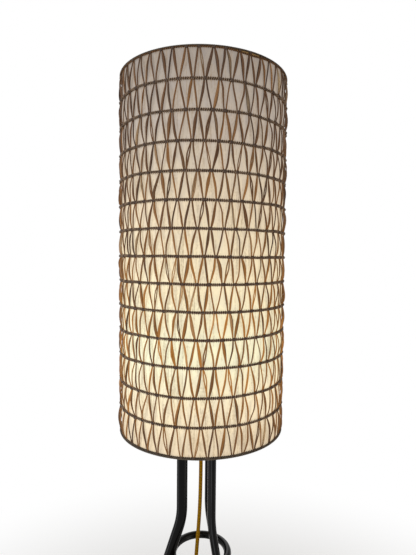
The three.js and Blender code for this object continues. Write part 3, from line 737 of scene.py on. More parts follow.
class LAMP_OT_studio(bpy.types.Operator):
    """Makes the camera, the light, the white surroundings and the pale floor"""

    bl_idname = "lamp.studio"
    bl_label = "Studio"

    def execute(self, context):
        studio = context.scene.lamp_studio
        context.scene.view_settings.view_transform = "Standard"
        camera = bpy.data.objects.new("camera", bpy.data.cameras.new("camera"))
        context.scene.collection.objects.link(camera)
        context.scene.camera = camera
        camera.data.sensor_width = 36.0
        camera.data.lens = camera.data.sensor_width * studio.focal_px / studio.frame_px
        camera.data.shift_x = -studio.axis_px / studio.frame_px
        azimuth = studio.camera_azimuth
        back = Vector((math.sin(azimuth), -math.cos(azimuth), 0.0)) * studio.camera_distance
        camera.matrix_world = (
            Matrix.Translation(Vector((AXIS_X, 0.0, studio.camera_height)) + back)
            @ Matrix.Rotation(azimuth + studio.camera_yaw, 4, "Z")
            @ Matrix.Rotation(math.pi / 2 + studio.camera_pitch, 4, "X")
            @ Matrix.Rotation(studio.camera_roll, 4, "Z"))
        self.light(context, studio)
        self.floor(context, studio)
        return {"FINISHED"}

    def light(self, context, studio):
        """Surroundings that look white but shine less, and six soft lights."""
        world = bpy.data.worlds.new("studio")
        context.scene.world = world
        world.use_nodes = True
        nodes = Nodes(world.node_tree)
        seen = nodes.seen_straight()
        level = nodes.node("ShaderNodeMapRange", {}, seen, 0.0, 1.0, studio.world_level, 1.0)
        background = nodes.tree.nodes["Background"]
        nodes.feed(background.inputs["Strength"], level[0])
        nodes.feed(background.inputs["Color"], (1.0, 1.0, 1.0))
        middle = (AXIS_X, 0.0, 1.0)
        soft_light("window", (-2.3, -1.05, 1.6), middle, 0.6, 2.2, 36.0, (0.86, 0.92, 1.0))
        soft_light("fill", (1.9, -1.5, 1.4), middle, 1.4, 2.0, 10.0, (1.0, 0.84, 0.68))
        soft_light("front", (-0.6, -2.6, 2.2), middle, 1.2, 1.2, 10.0, (1.0, 1.0, 1.0))
        soft_light("back", (0.4, 2.4, 2.1), middle, 1.6, 1.6, 16.0, (1.0, 1.0, 1.0))
        low = (AXIS_X, 0.0, 0.34)
        soft_light("low_left", (-0.95, -0.55, 0.34), low, 0.34, 0.6, 2.2, (0.93, 0.96, 1.0))
        soft_light("low_right", (0.95, -0.75, 0.34), low, 0.34, 0.6, 2.2, (1.0, 0.95, 0.88))

    def floor(self, context, studio):
        """A pale round floor that fades into the white surroundings."""
        bm = bmesh.new()
        bmesh.ops.create_circle(bm, cap_ends=True, segments=96, radius=studio.floor_radius)
        mesh = mesh_of("floor", bm)
        floor = bpy.data.objects.new("floor", mesh)
        context.scene.collection.objects.link(floor)
        finish = Finish("floor", Base_Color=shade_of(240, 238, 235), Roughness=0.9)
        x, y, _ = finish.axes(finish.place(shift=(-AXIS_X, 0.0, 0.0)))
        away = (x * x + y * y) ** 0.5
        white = finish.node("ShaderNodeEmission", {}, (1.0, 1.0, 1.0), 1.0)[0]
        mixed = finish.node(
            "ShaderNodeMixShader", {}, away.step(*FLOOR_FADE) * finish.seen_straight(),
            Wire(finish, finish.shader.outputs[0]), white)[0]
        finish.tree.links.new(mixed.socket, finish.tree.nodes["Material Output"].inputs["Surface"])
        mesh.materials.append(finish.material)


# Flex, foot switch and plug

DROP_POINTS = (
    (0, 0, 835), (0, 0, 800), (-0.4, 0, 760), (-1.6, 0, 715), (-4.2, 0, 670), (-7.6, -1, 622),
    (-11, -2, 560), (-14, -4, 470), (-15.5, -6, 370), (-14.5, -8, 270), (-11, -10, 180),
    (-6, -11, 110), (-2.6, -12.2, 70), (-0.6, -15, 42), (3.4, -25.5, 14), (9, -41, 4.6),
)
LEAD_POINTS = (
    (54.5, -163.2, 3.7), (65.6, -172.9, 3.7), (88.9, -177, 3.7), (109.4, -165.2, 3.7),
    (117.8, -143, 3.7), (118.6, -100, 3.7), (116.9, -50, 3.7), (117.3, 0, 3.7), (117.65, 30, 3.9),
)
SEAT = 0.3 * MM
ROUTE_SPACING = 4 * MM
FLEX_SIDES = 14
COIL_X, COIL_Y = 66 * MM, 60 * MM
COIL_TURNS_IN, COIL_TURNS_OUT = 3, 3 + 1 / 3
COIL_MEAN_RADIUS = 40.25 * MM
COIL_PITCH = 7.6 * MM
COIL_HALF = COIL_TURNS_IN * COIL_PITCH / 2
COIL_LOW = 4.5 * MM
COIL_STEPS = 40
STRAP_ANGLE = math.radians(200)
TAIL_LENGTH = 62 * MM
TAIL_STEPS = 12
SWITCH_X, SWITCH_Y, SWITCH_ANGLE = 34 * MM, -110 * MM, math.radians(-70)
SWITCH_LENGTH, SWITCH_WIDTH, SWITCH_CORNER = 84 * MM, 36 * MM, 9 * MM
FLOOR_LINE = 3.7 * MM


def from_axis(points):
    """Millimetres from the lamp's axis as points of the frame."""
    return [Vector((AXIS_X + x * MM, y * MM, z * MM)) for x, y, z in points]


def coil_route(width):
    """Two layers of turns: in on the floor, out again on top, then a straight tail to the plug."""
    inner = COIL_MEAN_RADIUS - COIL_HALF
    reversal = TURN * COIL_TURNS_IN
    whole = TURN * (COIL_TURNS_IN + COIL_TURNS_OUT)

    def point(turn):
        radius = inner + COIL_PITCH * abs(turn - reversal) / TURN
        rise = eased(turn, reversal - math.pi / 2, reversal + math.pi / 2)
        return Vector((
            AXIS_X + COIL_X + radius * math.cos(turn),
            COIL_Y + radius * math.sin(turn),
            COIL_LOW + COIL_PITCH * rise,
        ))

    count = round(COIL_STEPS * (COIL_TURNS_IN + COIL_TURNS_OUT))
    route = [point(0) - Vector((0, width, 0))]
    route += [point(whole * step / count) for step in range(count + 1)]
    along = Vector((-math.sin(whole), math.cos(whole), 0))
    start = route[-1].copy()
    plug_line = box_middle("plug_body").z
    for step in range(1, TAIL_STEPS + 1):
        share = step / TAIL_STEPS
        place = start + along * ((TAIL_LENGTH - width) * share)
        place.z = start.z + (plug_line - start.z) * eased(share, 0.0, 1.0)
        route.append(place)
    route.append(route[-1] + along * width)
    return route, along


def switch_end(side):
    """Where the flex meets an end of the foot switch, and the line it runs on there."""
    along = Vector((math.cos(SWITCH_ANGLE), math.sin(SWITCH_ANGLE), 0))
    centre = Vector((AXIS_X + SWITCH_X, SWITCH_Y, FLOOR_LINE))
    return centre + along * (side * (SWITCH_LENGTH / 2 + SEAT)), along


class LAMP_OT_flex(bpy.types.Operator):
    """Makes the braided flex: the drop to the foot switch, and the lead with its coil to the plug"""

    bl_idname = "lamp.flex"
    bl_label = "Flex"

    def execute(self, context):
        width = context.scene.lamp_flex.width
        leave = Vector((AXIS_X, 0.0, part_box("cord_drop")[1].z))
        entry, along = switch_end(-1)
        hang = [leave, leave - UP * width, *from_axis(DROP_POINTS), entry - along * width, entry]
        drop = smooth_route(hang, ROUTE_SPACING)
        piece = self.braid("flex_drop", drop, width, ["cord_drop"])
        tuple(leave)
        length_of(drop)
        leave, along = switch_end(1)
        coil, _ = coil_route(width)
        onward = [leave, leave + along * width, *from_axis(LEAD_POINTS), coil[0]]
        lead = smooth_route(onward, ROUTE_SPACING)[:-1] + smooth_route(coil, ROUTE_SPACING)
        piece = self.braid("flex_lead", lead, width, ["cord_lead", "cord_coil"])
        tuple(leave)
        length_of(lead)
        return {"FINISHED"}

    def braid(self, name, route, width, replaced):
        """One length of flex."""
        bm = bmesh.new()
        tube_along(bm, route, width / 2, FLEX_SIDES)
        return finished(name, bm, "stand", "flex_textile", replaced)


def verts_of(geometry):
    """The corners in what an operator made."""
    return [entry for entry in geometry if isinstance(entry, bmesh.types.BMVert)]


def rounded_block(low, high):
    """An upright block as long and wide as the foot switch, with round corners in plan."""
    bm = bmesh.new()
    bmesh.ops.create_grid(bm, x_segments=1, y_segments=1, size=0.5)
    bmesh.ops.scale(bm, vec=(SWITCH_LENGTH, SWITCH_WIDTH, 1.0), verts=bm.verts)
    bmesh.ops.bevel(
        bm, geom=bm.verts[:], offset=SWITCH_CORNER, affect="VERTICES", segments=8, profile=0.5, material=-1)
    raised = bmesh.ops.extrude_face_region(bm, geom=bm.faces[:])
    bmesh.ops.translate(bm, vec=(0, 0, high - low), verts=verts_of(raised["geom"]))
    bmesh.ops.translate(bm, vec=(0, 0, low), verts=bm.verts)
    bmesh.ops.recalc_face_normals(bm, faces=bm.faces)
    return bm


def squared(angle, half_width, half_height, power):
    """A point of an oval whose corners fill out as the power falls."""
    across, up = math.cos(angle), math.sin(angle)
    return (
        math.copysign(abs(across) ** power, across) * half_width,
        math.copysign(abs(up) ** power, up) * half_height)


def soften(bm, height, width, segments, tolerance=0.05 * MM):
    """Rounds the edges that lie at a height."""
    level = [edge for edge in bm.edges if all(abs(vert.co.z - height) < tolerance for vert in edge.verts)]
    bmesh.ops.bevel(
        bm, geom=level, offset=width, affect="EDGES", segments=segments, profile=0.5, material=-1)


class LAMP_OT_switch(bpy.types.Operator):
    """Makes the foot switch: floor, shell and key"""

    bl_idname = "lamp.switch"
    bl_label = "Foot switch"

    def execute(self, context):
        base_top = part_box("switch_base")[1].z
        bm = rounded_block(0.0, base_top)
        soften(bm, 0.0, 1.4 * MM, 3)
        soften(bm, base_top, 0.5 * MM, 2)
        self.seated("switch_floor", bm, "stand", "switch_plastic", "switch_base")
        low, high = (corner.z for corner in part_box("switch_cover"))
        bm = rounded_block(low, high)
        soften(bm, high, 4.5 * MM, 6)
        roof = max(bm.faces, key=lambda face: face.calc_center_median().z * 1000 + face.calc_area())
        self.key_well(bm, roof, high)
        self.seated("switch_shell", bm, "stand", "switch_plastic", "switch_cover")
        low, high, _ = drum("switch_button")
        bm = bmesh.new()
        turned(bm, [(0, low), *rounded([
            (12.5 * MM, low), (12.5 * MM, low + 2 * MM), (10.9 * MM, low + 2.2 * MM),
            (10.9 * MM, high - 0.4 * MM), (9.2 * MM, high), (7 * MM, high - 0.5 * MM)],
            1.0 * MM), (0, high - 0.9 * MM)], 48)
        self.seated("switch_key", bm, "button", "button_plastic", "switch_button")
        return {"FINISHED"}

    def seated(self, name, bm, body, slot, node):
        """A piece of the switch, turned and moved to where that lies on the floor."""
        place = Matrix.Translation((AXIS_X + SWITCH_X, SWITCH_Y, 0)) @ Matrix.Rotation(SWITCH_ANGLE, 4, "Z")
        bmesh.ops.transform(bm, matrix=place, verts=bm.verts)
        finished(name, bm, body, slot, [node])

    def key_well(self, bm, roof, shell_high):
        """A round well in the shell's roof, deep enough for the key's travel."""
        bmesh.ops.inset_individual(bm, faces=[roof], thickness=1.0 * MM, depth=0.0)
        ring = bmesh.ops.create_circle(bm, cap_ends=False, segments=48, radius=11.6 * MM)["verts"]
        bmesh.ops.translate(bm, vec=(0, 0, shell_high), verts=ring)
        ring_edges = {edge for vert in ring for edge in vert.link_edges}
        border = list(roof.edges)
        bmesh.ops.delete(bm, geom=[roof], context="FACES_ONLY")
        bmesh.ops.triangle_fill(bm, edges=[*border, *ring_edges], use_beauty=True, normal=(0, 0, 1))
        well = bmesh.ops.extrude_edge_only(bm, edges=list(ring_edges))
        moved = verts_of(well["geom"])
        bmesh.ops.translate(bm, vec=(0, 0, -9.0 * MM), verts=moved)
        bottom = [entry for entry in well["geom"] if isinstance(entry, bmesh.types.BMEdge)
                  and all(vert in moved for vert in entry.verts)]
        bmesh.ops.holes_fill(bm, edges=bottom, sides=0)


class LAMP_OT_plug(bpy.types.Operator):
    """Makes the plug with its ribbed neck and two pins, and the strap round the coil"""

    bl_idname = "lamp.plug"
    bl_label = "Plug and strap"

    def execute(self, context):
        route, along = coil_route(context.scene.lamp_flex.width)
        place = Matrix.Translation(route[-1]) @ Matrix.Rotation(math.atan2(along.y, along.x), 4, "Z")
        ribs = [(0.0, 0.3 * MM), (3.7 * MM, 0.3 * MM)]
        for rib in range(6):
            start = (0.8 + rib * 3.4) * MM
            reach = (3.9 + rib * 0.28) * MM
            ribs += [(reach + 0.6 * MM, start), (reach + 0.7 * MM, start + 2.0 * MM),
                     (reach - 0.2 * MM, start + 2.3 * MM), (reach - 0.1 * MM, start + 3.1 * MM)]
        ribs += [(5.6 * MM, 22.5 * MM), (5.6 * MM, 30 * MM), (0.0, 30 * MM)]
        bm = self.lying(ribs)
        self.plug_body(bm)
        bmesh.ops.transform(bm, matrix=place, verts=bm.verts)
        finished("plug_shell", bm, "stand", "plug_plastic", ["plug_body"])
        face = 58.3 * MM
        pin = [(0, face - 1 * MM), (2 * MM, face - 1 * MM), (2 * MM, face + 16.5 * MM),
               (1.8 * MM, face + 18.0 * MM), (1.2 * MM, face + 18.8 * MM), (0, face + 19 * MM)]
        for name, side, node in (("plug_pin_a", 1, "plug_pin_left"), ("plug_pin_b", -1, "plug_pin_right")):
            bm = self.lying(pin)
            bmesh.ops.translate(bm, vec=(0, side * 9.3 * MM, 0), verts=bm.verts)
            bmesh.ops.transform(bm, matrix=place, verts=bm.verts)
            finished(name, bm, "stand", "pin_metal", [node])
        self.strap()
        return {"FINISHED"}

    def lying(self, outline):
        """An outline turned about X, the plug's own line."""
        bm = bmesh.new()
        turned(bm, outline, 24)
        bmesh.ops.rotate(bm, verts=bm.verts, cent=(0, 0, 0), matrix=Matrix.Rotation(math.pi / 2, 3, "Y"))
        return bm

    def plug_body(self, bm):
        """The plug's body: narrow at the neck, full at the face, with rounded corners."""
        stations = (
            (0.0, 0.86), (0.015, 0.93), (0.05, 0.98), (0.1, 1.0), (0.18, 1.0), (0.28, 1.0), (0.42, 1.0),
            (0.6, 1.0), (0.78, 1.0), (0.92, 1.0), (0.965, 0.985), (0.99, 0.95), (1.0, 0.88),
        )
        start, length = 22.3 * MM, 36 * MM
        last = len(stations) - 1

        def place(along, around):
            share, fill = stations[round(along * last)]
            full = eased(share, 0.0, 0.42)
            half_width = 13 * MM * (0.56 + 0.44 * full) * fill
            half_height = 6.8 * MM * (0.86 + 0.14 * full) * fill
            return Vector((start + length * share, *squared(TURN * around, half_width, half_height, 0.4)))

        sheet_rolled(bm, last, 40, place)

    def strap(self):
        """The strap that holds the coil's turns together."""
        inner = COIL_MEAN_RADIUS - COIL_HALF - FLEX_REACH - SEAT
        outer = COIL_MEAN_RADIUS + COIL_HALF + FLEX_REACH + SEAT
        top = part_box("coil_tie")[1].z
        place = Matrix.Translation((AXIS_X + COIL_X, COIL_Y, 0)) @ Matrix.Rotation(STRAP_ANGLE, 4, "Z")
        half = Vector((outer - inner + 1 * MM, top - CLEARANCE)) / 2
        middle = Vector(((inner + outer) / 2, CLEARANCE + half.y))
        walls = ((-6.0, 0.0), (6.0, 0.0), (6.0, 0.5), (-6.0, 0.5), (-6.0, 0.0))

        def at(along, around):
            across, inset = walls[round(around * 4)]
            x, z = squared(TURN * along, half.x - inset * MM, half.y - inset * MM, 0.32)
            return place @ Vector((middle.x + x, across * MM, middle.y + z))

        rolled_piece("coil_strap", 64, 4, at, "stand", "tie_strap", ["coil_tie"], ring_closed=True)


# Shade


class LAMP_OT_liner(bpy.types.Operator):
    """Makes the parchment drum with its lapped seam at the back"""

    bl_idname = "lamp.liner"
    bl_label = "Liner"

    def execute(self, context):
        lap_wall = 0.15 * MM
        seam, lap = math.radians(92), math.radians(3.6)
        low, high = LINER_LOW.z, LINER_HIGH.z
        rises = 24
        outer, inner = LINER_RADIUS - lap_wall, LINER_RADIUS - LINER_WALL
        outline = [(outer, low + (high - low) * step / rises) for step in range(rises + 1)]
        outline += [(inner, low + (high - low) * step / rises) for step in range(rises, -1, -1)]
        bm = bmesh.new()
        turned(bm, [*outline, outline[0]], 180, (AXIS_X, 0.0))
        for vert in bm.verts:
            angle = math.atan2(vert.co.y, vert.co.x - AXIS_X)
            share = (vert.co.z - low) / (high - low)
            wave = 0.12 * MM * (math.sin(angle * 9 + share * 4) * math.sin(math.pi * share) - 1)
            lift = lap_wall if (angle - seam) % TURN < lap else 0.0
            vert.co += Vector((vert.co.x - AXIS_X, vert.co.y, 0.0)).normalized() * (wave + lift)
        piece = finished("parchment_drum", bm, "shade", "parchment", ["shade_liner"])
        return {"FINISHED"}


class LAMP_OT_raffia(bpy.types.Operator):
    """Laces the raffia ribbons from ring to ring"""

    bl_idname = "lamp.raffia"
    bl_label = "Raffia"

    SEGMENTS = 7
    SECTION = ((1.0, 0.0), (0.45, 0.5), (-0.45, 0.5), (-1.0, 0.0), (-0.45, -0.5), (0.45, -0.5))

    def execute(self, context):
        shade = context.scene.lamp_shade
        chance = random.Random(SEED)
        unit = self.unit_ribbon()
        whole = bmesh.new()
        whole.verts.layers.float_color.new("strand")
        under = LINER_RADIUS + shade.ribbon_thick / 2 + CLEARANCE
        gap = shade.node_gap / 2 / under
        for row, (low, high) in enumerate(zip(RING_HEIGHTS, RING_HEIGHTS[1:])):
            row_mesh = bmesh.new()
            layer = row_mesh.verts.layers.float_color.new("strand")
            for number in range(shade.nodes_round):
                for side in (-1, 1):
                    start = node_angle(shade, row, number)
                    end = node_angle(shade, row + 1, self.neighbour(row, number, side))
                    ends = (start + side * gap, end - side * gap, low, high, under)
                    self.ribbon(row_mesh, layer, unit, ends, shade, chance)
            data = mesh_of("row", row_mesh)
            whole.from_mesh(data)
            bpy.data.meshes.remove(data)
        bpy.data.meshes.remove(unit)
        finished("raffia_lacing", whole, "shade", "raffia", ["raffia_weave"], smooth_angle=None)
        return {"FINISHED"}

    def neighbour(self, row, number, side):
        """Which knot of the ring above lies half a pitch to a side."""
        return number + (side - 1) // 2 + row % 2

    def unit_ribbon(self):
        """A closed ribbon of unit length and half width, with few faces."""
        bm = bmesh.new()
        bm.verts.layers.float_color.new("strand")

        def place(along, around):
            across, through = self.SECTION[round(around * 6) % 6]
            return Vector((along, across, through))

        sheet_rolled(bm, self.SEGMENTS, 6, place)
        return mesh_of("unit_ribbon", bm)

    def ribbon(self, bm, layer, unit, ends, shade, chance):
        """One ribbon, or the two strands of a torn one."""
        level = (ends[2] - SHADE_FOOT) / (SHADE_TOP - SHADE_FOOT)
        leaf = {
            "tone": held(chance.gauss(0.42, 0.22), 0.0, 1.0),
            "bow": held(chance.gauss(0.0, 0.85), -1.9, 1.9) * MM,
            "ripple": chance.gauss(0.0, 0.2) * MM,
            "swell": shade.ribbon_swell * chance.uniform(0.35, 1.0) * (1 + 0.6 * (1 - level) ** 2),
            "roll": chance.gauss(0.0, 0.35),
            "twist": chance.gauss(0.0, 0.5),
            "width": shade.ribbon_width * held(chance.lognormvariate(0.0, 0.22), 0.7, 1.45),
            # Pale thin film: partly the leaf's own colour, partly painted light shining through
            "film": chance.random() ** 22,
            "peak": chance.uniform(0.3, 0.7),
            # How much painted shade each rolled edge gets, one value for each side of the ribbon
            "edges": (chance.uniform(0.15, 1.0), chance.uniform(0.15, 1.0)),
        }
        leaf["width"] *= 0.98 + 0.12 * level
        if chance.random() < shade.split_share:
            spread = chance.uniform(0.9, 1.9) * MM
            for half in (-1, 1):
                torn = {
                    "bow": leaf["bow"] + half * spread * chance.uniform(0.8, 1.2),
                    "ripple": leaf["ripple"] * half,
                    "swell": leaf["swell"] * chance.uniform(0.7, 1.0),
                    "width": leaf["width"] * 0.55,
                    "film": leaf["film"] * 0.5,
                }
                self.strand(bm, layer, unit, ends, shade, {**leaf, **torn}, chance.uniform(0.1, 0.5))
        else:
            self.strand(bm, layer, unit, ends, shade, leaf, chance.uniform(0.1, 0.5))

    def strand(self, bm, layer, unit, ends, shade, leaf, curl):
        """Lays one strand between two knots: it bends at its peak, swells out and rolls its edges."""
        start, end, low, high, under = ends
        first = len(bm.verts)
        bm.from_mesh(unit)
        bm.verts.ensure_lookup_table()
        for vert in bm.verts[first:]:
            along, across, through = vert.co
            belly = math.sin(math.pi * along ** (math.log(0.5) / math.log(leaf["peak"])))
            kink = min(along / leaf["peak"], (1 - along) / (1 - leaf["peak"]))
            angle = start + (end - start) * along
            sideways = leaf["bow"] * (belly * 0.3 + kink * 0.7) + leaf["ripple"] * math.sin(TURN * along)
            half = (shade.ribbon_pinch + (leaf["width"] - shade.ribbon_pinch) * belly ** 0.8) / 2
            roll = (leaf["roll"] + leaf["twist"] * (along - 0.5)) * belly
            x = across * half
            y = through * shade.ribbon_thick + curl * half * (1 - across * across) * belly
            flat = x * math.cos(roll) - y * math.sin(roll)
            lift = x * math.sin(roll) + y * math.cos(roll)
            radius = max(under + leaf["swell"] * belly + lift, LINER_RADIUS + CLEARANCE)
            vert.co = on_ring(angle + (sideways + flat) / under, radius, low + (high - low) * along)
            # Painted shade: full on the outer edges, part of it across the face, a little more where the ribbon
            # swells
            edge = leaf["edges"][across > 0] * (1.0 if abs(across) > 0.9 else 0.3 + 0.3 * belly)
            vert[layer] = (leaf["tone"], edge, leaf["film"] * belly, along)


def twine_ring(name, node, height, turns, chance, thick, finish="twine"):
    """A ring of two uneven plies laid round each other; height(angle) says where its middle runs."""
    bm = bmesh.new()
    ply, offset = thick * 0.33, thick * 0.32
    drift = [chance.uniform(0, TURN) for _ in range(3)]
    for phase in (0.0, math.pi):
        def place(along, around, phase=phase):
            angle = TURN * along
            slow, quick = math.sin(angle * 5 + drift[0]), math.sin(angle * 13 + drift[1])
            wander = (0.25 * slow + 0.18 * quick) * MM
            lay = turns * angle + phase + 0.8 * math.sin(angle * 7 + drift[2])
            section = TURN * around + lay
            coarse, fine = math.sin(angle * 131 + drift[0] + phase), math.sin(angle * 211 + drift[2])
            lump = 1 + 0.16 * coarse + 0.12 * fine
            out = (offset * math.cos(lay) + ply * lump * math.cos(section)) * TWINE_SQUEEZE
            up = offset * math.sin(lay) + ply * lump * math.sin(section) * 1.15
            return on_ring(angle, TWINE_LINE + out, height(angle) + wander + up)

        sheet_rolled(bm, turns * 6, 5, place, ring_closed=True)
    finished(name, bm, "shade", "twine", [node] if node else (), finish, 60.0)


class LAMP_OT_twine(bpy.types.Operator):
    """Makes the two-ply twine rings and the knots where they pinch the ribbons"""

    bl_idname = "lamp.twine"
    bl_label = "Twine"

    def execute(self, context):
        shade = context.scene.lamp_shade
        turns = round(TURN * TWINE_RADIUS / shade.twine_lay)
        chance = random.Random(SEED + 1)
        for number, node in enumerate(TWINE_NODES):
            name = f"twine_ring_{number + 1:02d}"
            height = RING_HEIGHTS[number + 1]
            twine_ring(name, node, lambda angle, level=height: level, turns, chance, TWINE_THICK * 1.08)
        self.knots(shade, chance)
        return {"FINISHED"}

    def knots(self, shade, chance):
        """A wrapped knot at every crossing, on the rings and on both rims."""
        unit_bm = bmesh.new()
        outline = [(0.0, -2.9), (1.7, -2.7), (2.6, -1.8), (2.3, -0.9), (3.0, 0.0), (2.3, 0.9), (2.6, 1.8),
                   (1.7, 2.7), (0.0, 2.9)]
        turned(unit_bm, [(radius * MM, height * MM) for radius, height in outline], 7)
        unit = mesh_of("unit_knot", unit_bm)
        bm = bmesh.new()
        for row, height in enumerate(RING_HEIGHTS):
            rim = row in (0, len(RING_HEIGHTS) - 1)
            for number in range(shade.nodes_round):
                first = len(bm.verts)
                bm.from_mesh(unit)
                bm.verts.ensure_lookup_table()
                angle = node_angle(shade, row, number)
                size = chance.uniform(0.85, 1.15) * (0.75 if rim else 1.0)
                place = (
                    Matrix.Translation(on_ring(angle, TWINE_LINE + CLEARANCE, height))
                    @ Matrix.Rotation(angle, 4, "Z")
                    @ Matrix.Rotation(math.pi / 2 + chance.gauss(0.0, 0.16), 4, "X")
                    @ Matrix.Rotation(chance.uniform(0, TURN), 4, "Z")
                    @ Matrix.Diagonal((0.92 * size, 0.92 * size, size, 1.0)))
                for vert in bm.verts[first:]:
                    vert.co = place @ vert.co
        bpy.data.meshes.remove(unit)
        finished("node_knots", bm, "shade", "twine", finish="knot", smooth_angle=None)


class LAMP_OT_rims(bpy.types.Operator):
    """Makes the rims: twine, sewn edge tape, a raffia strip, and the wire hoops inside"""

    bl_idname = "lamp.rims"
    bl_label = "Rims"

    SAG_ANGLE = math.radians(-65)
    SAG_SPREAD = math.radians(13)
    STITCHES = 294

    def execute(self, context):
        turns = round(TURN * TWINE_RADIUS / context.scene.lamp_shade.twine_lay)
        chance = random.Random(SEED + 2)
        low, high = LINER_LOW.z, LINER_HIGH.z

        def low_line(angle):
            return low + 2.7 * MM

        def high_line(angle):
            away = ((angle - self.SAG_ANGLE + math.pi) % TURN - math.pi) / self.SAG_SPREAD
            return high - 2.2 * MM - 2.6 * MM * math.exp(-away * away)

        twine_ring("rim_twine_low", None, low_line, turns, chance, 2.8 * MM, "rim_twine_grey")
        twine_ring("rim_twine_high", None, high_line, turns, chance, 2.6 * MM, "rim_twine")
        self.tape("rim_tape_low", "bottom_binding", low - 0.7 * MM, low + 1.7 * MM)
        self.tape("rim_tape_high", "top_binding", high - 1.2 * MM, high + 0.7 * MM)
        self.band("rim_band_high", high_line, high - 0.9 * MM)
        round_hoop("rim_hoop_low", "bottom_rim_wire", 144, 12, "shade", "rim_wire")
        round_hoop("rim_hoop_high", "top_rim_wire", 144, 12, "shade", "rim_wire")
        return {"FINISHED"}

    def band(self, name, low_line, high):
        """A strip of raffia along the parchment's edge, seen above the twine where that sags."""
        inner, outer = LINER_RADIUS + 0.1 * MM, LINER_RADIUS + 0.7 * MM
        corners = ((outer, False), (outer, True), (inner, True), (inner, False))

        def place(along, around):
            radius, upper = corners[round(around * 4) % 4]
            return on_ring(TURN * along, radius, high if upper else low_line(TURN * along))

        rolled_piece(name, 180, 4, place, "shade", "raffia", ring_closed=True, finish="rim_band")

    def tape(self, name, node, low, high):
        """Tape folded over the parchment's edge, sewn with close slanting stitches."""
        outer = TWINE_RADIUS + 0.3 * MM
        inner = LINER_RADIUS - 3.4 * MM
        half = Vector(((outer - inner) / 2, (high - low) / 2)) - Vector((0.3 * MM, 0.3 * MM))

        def place(along, around):
            angle, section = TURN * along, TURN * around
            ridge = 0.35 * MM * abs(math.sin(self.STITCHES * angle / 2 + section * 2))
            out, up = squared(section, half.x + ridge, half.y + ridge, 0.7)
            return on_ring(angle, (inner + outer) / 2 + out, (low + high) / 2 + up)

        rolled_piece(
            name, self.STITCHES * 4, 12, place, "shade", "binding", [node], ring_closed=True,
            smooth_angle=60.0)


class LAMP_OT_carrier(bpy.types.Operator):
    """Makes the spider that hangs the shade on the lampholder"""

    bl_idname = "lamp.carrier"
    bl_label = "Shade carrier"

    def execute(self, context):
        low, high, reach = drum("carrier_washer")
        outline = [(WASHER_BORE, low), (reach, low), (reach, high), (WASHER_BORE, high), (WASHER_BORE, low)]
        turned_piece("carrier_plate", outline, 72, "shade", "rim_wire", "carrier_washer")
        for number, angle in enumerate(ARM_ANGLES):
            self.arm(f"carrier_arm_{number + 1}", outward_of(angle), reach)
        return {"FINISHED"}

    def arm(self, node, outward, reach):
        """A wire from the washer out and down to the drum."""
        low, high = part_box(node)
        thick = 3.2 * MM
        far = LINER_RADIUS - LINER_WALL - 0.3 * MM - 3.3 * MM
        level = high.z - thick / 2
        foot = low.z + thick * 0.2
        points = [
            (reach - 4 * MM, level), (reach + 6 * MM, level), (reach + 16 * MM, level - 1.2 * MM),
            (far - 12 * MM, foot + 14 * MM), (far - 4 * MM, foot + 8 * MM), (far, foot + 3 * MM),
            (far, foot),
        ]
        bends = [Vector((AXIS_X, 0, height)) + outward * out for out, height in points]
        bm = bmesh.new()
        tube_along(bm, smooth_route(bends, 5 * MM), thick / 2, 12)
        finished(f"spider_{node[-1]}", bm, "shade", "rim_wire", [node])


# Stand


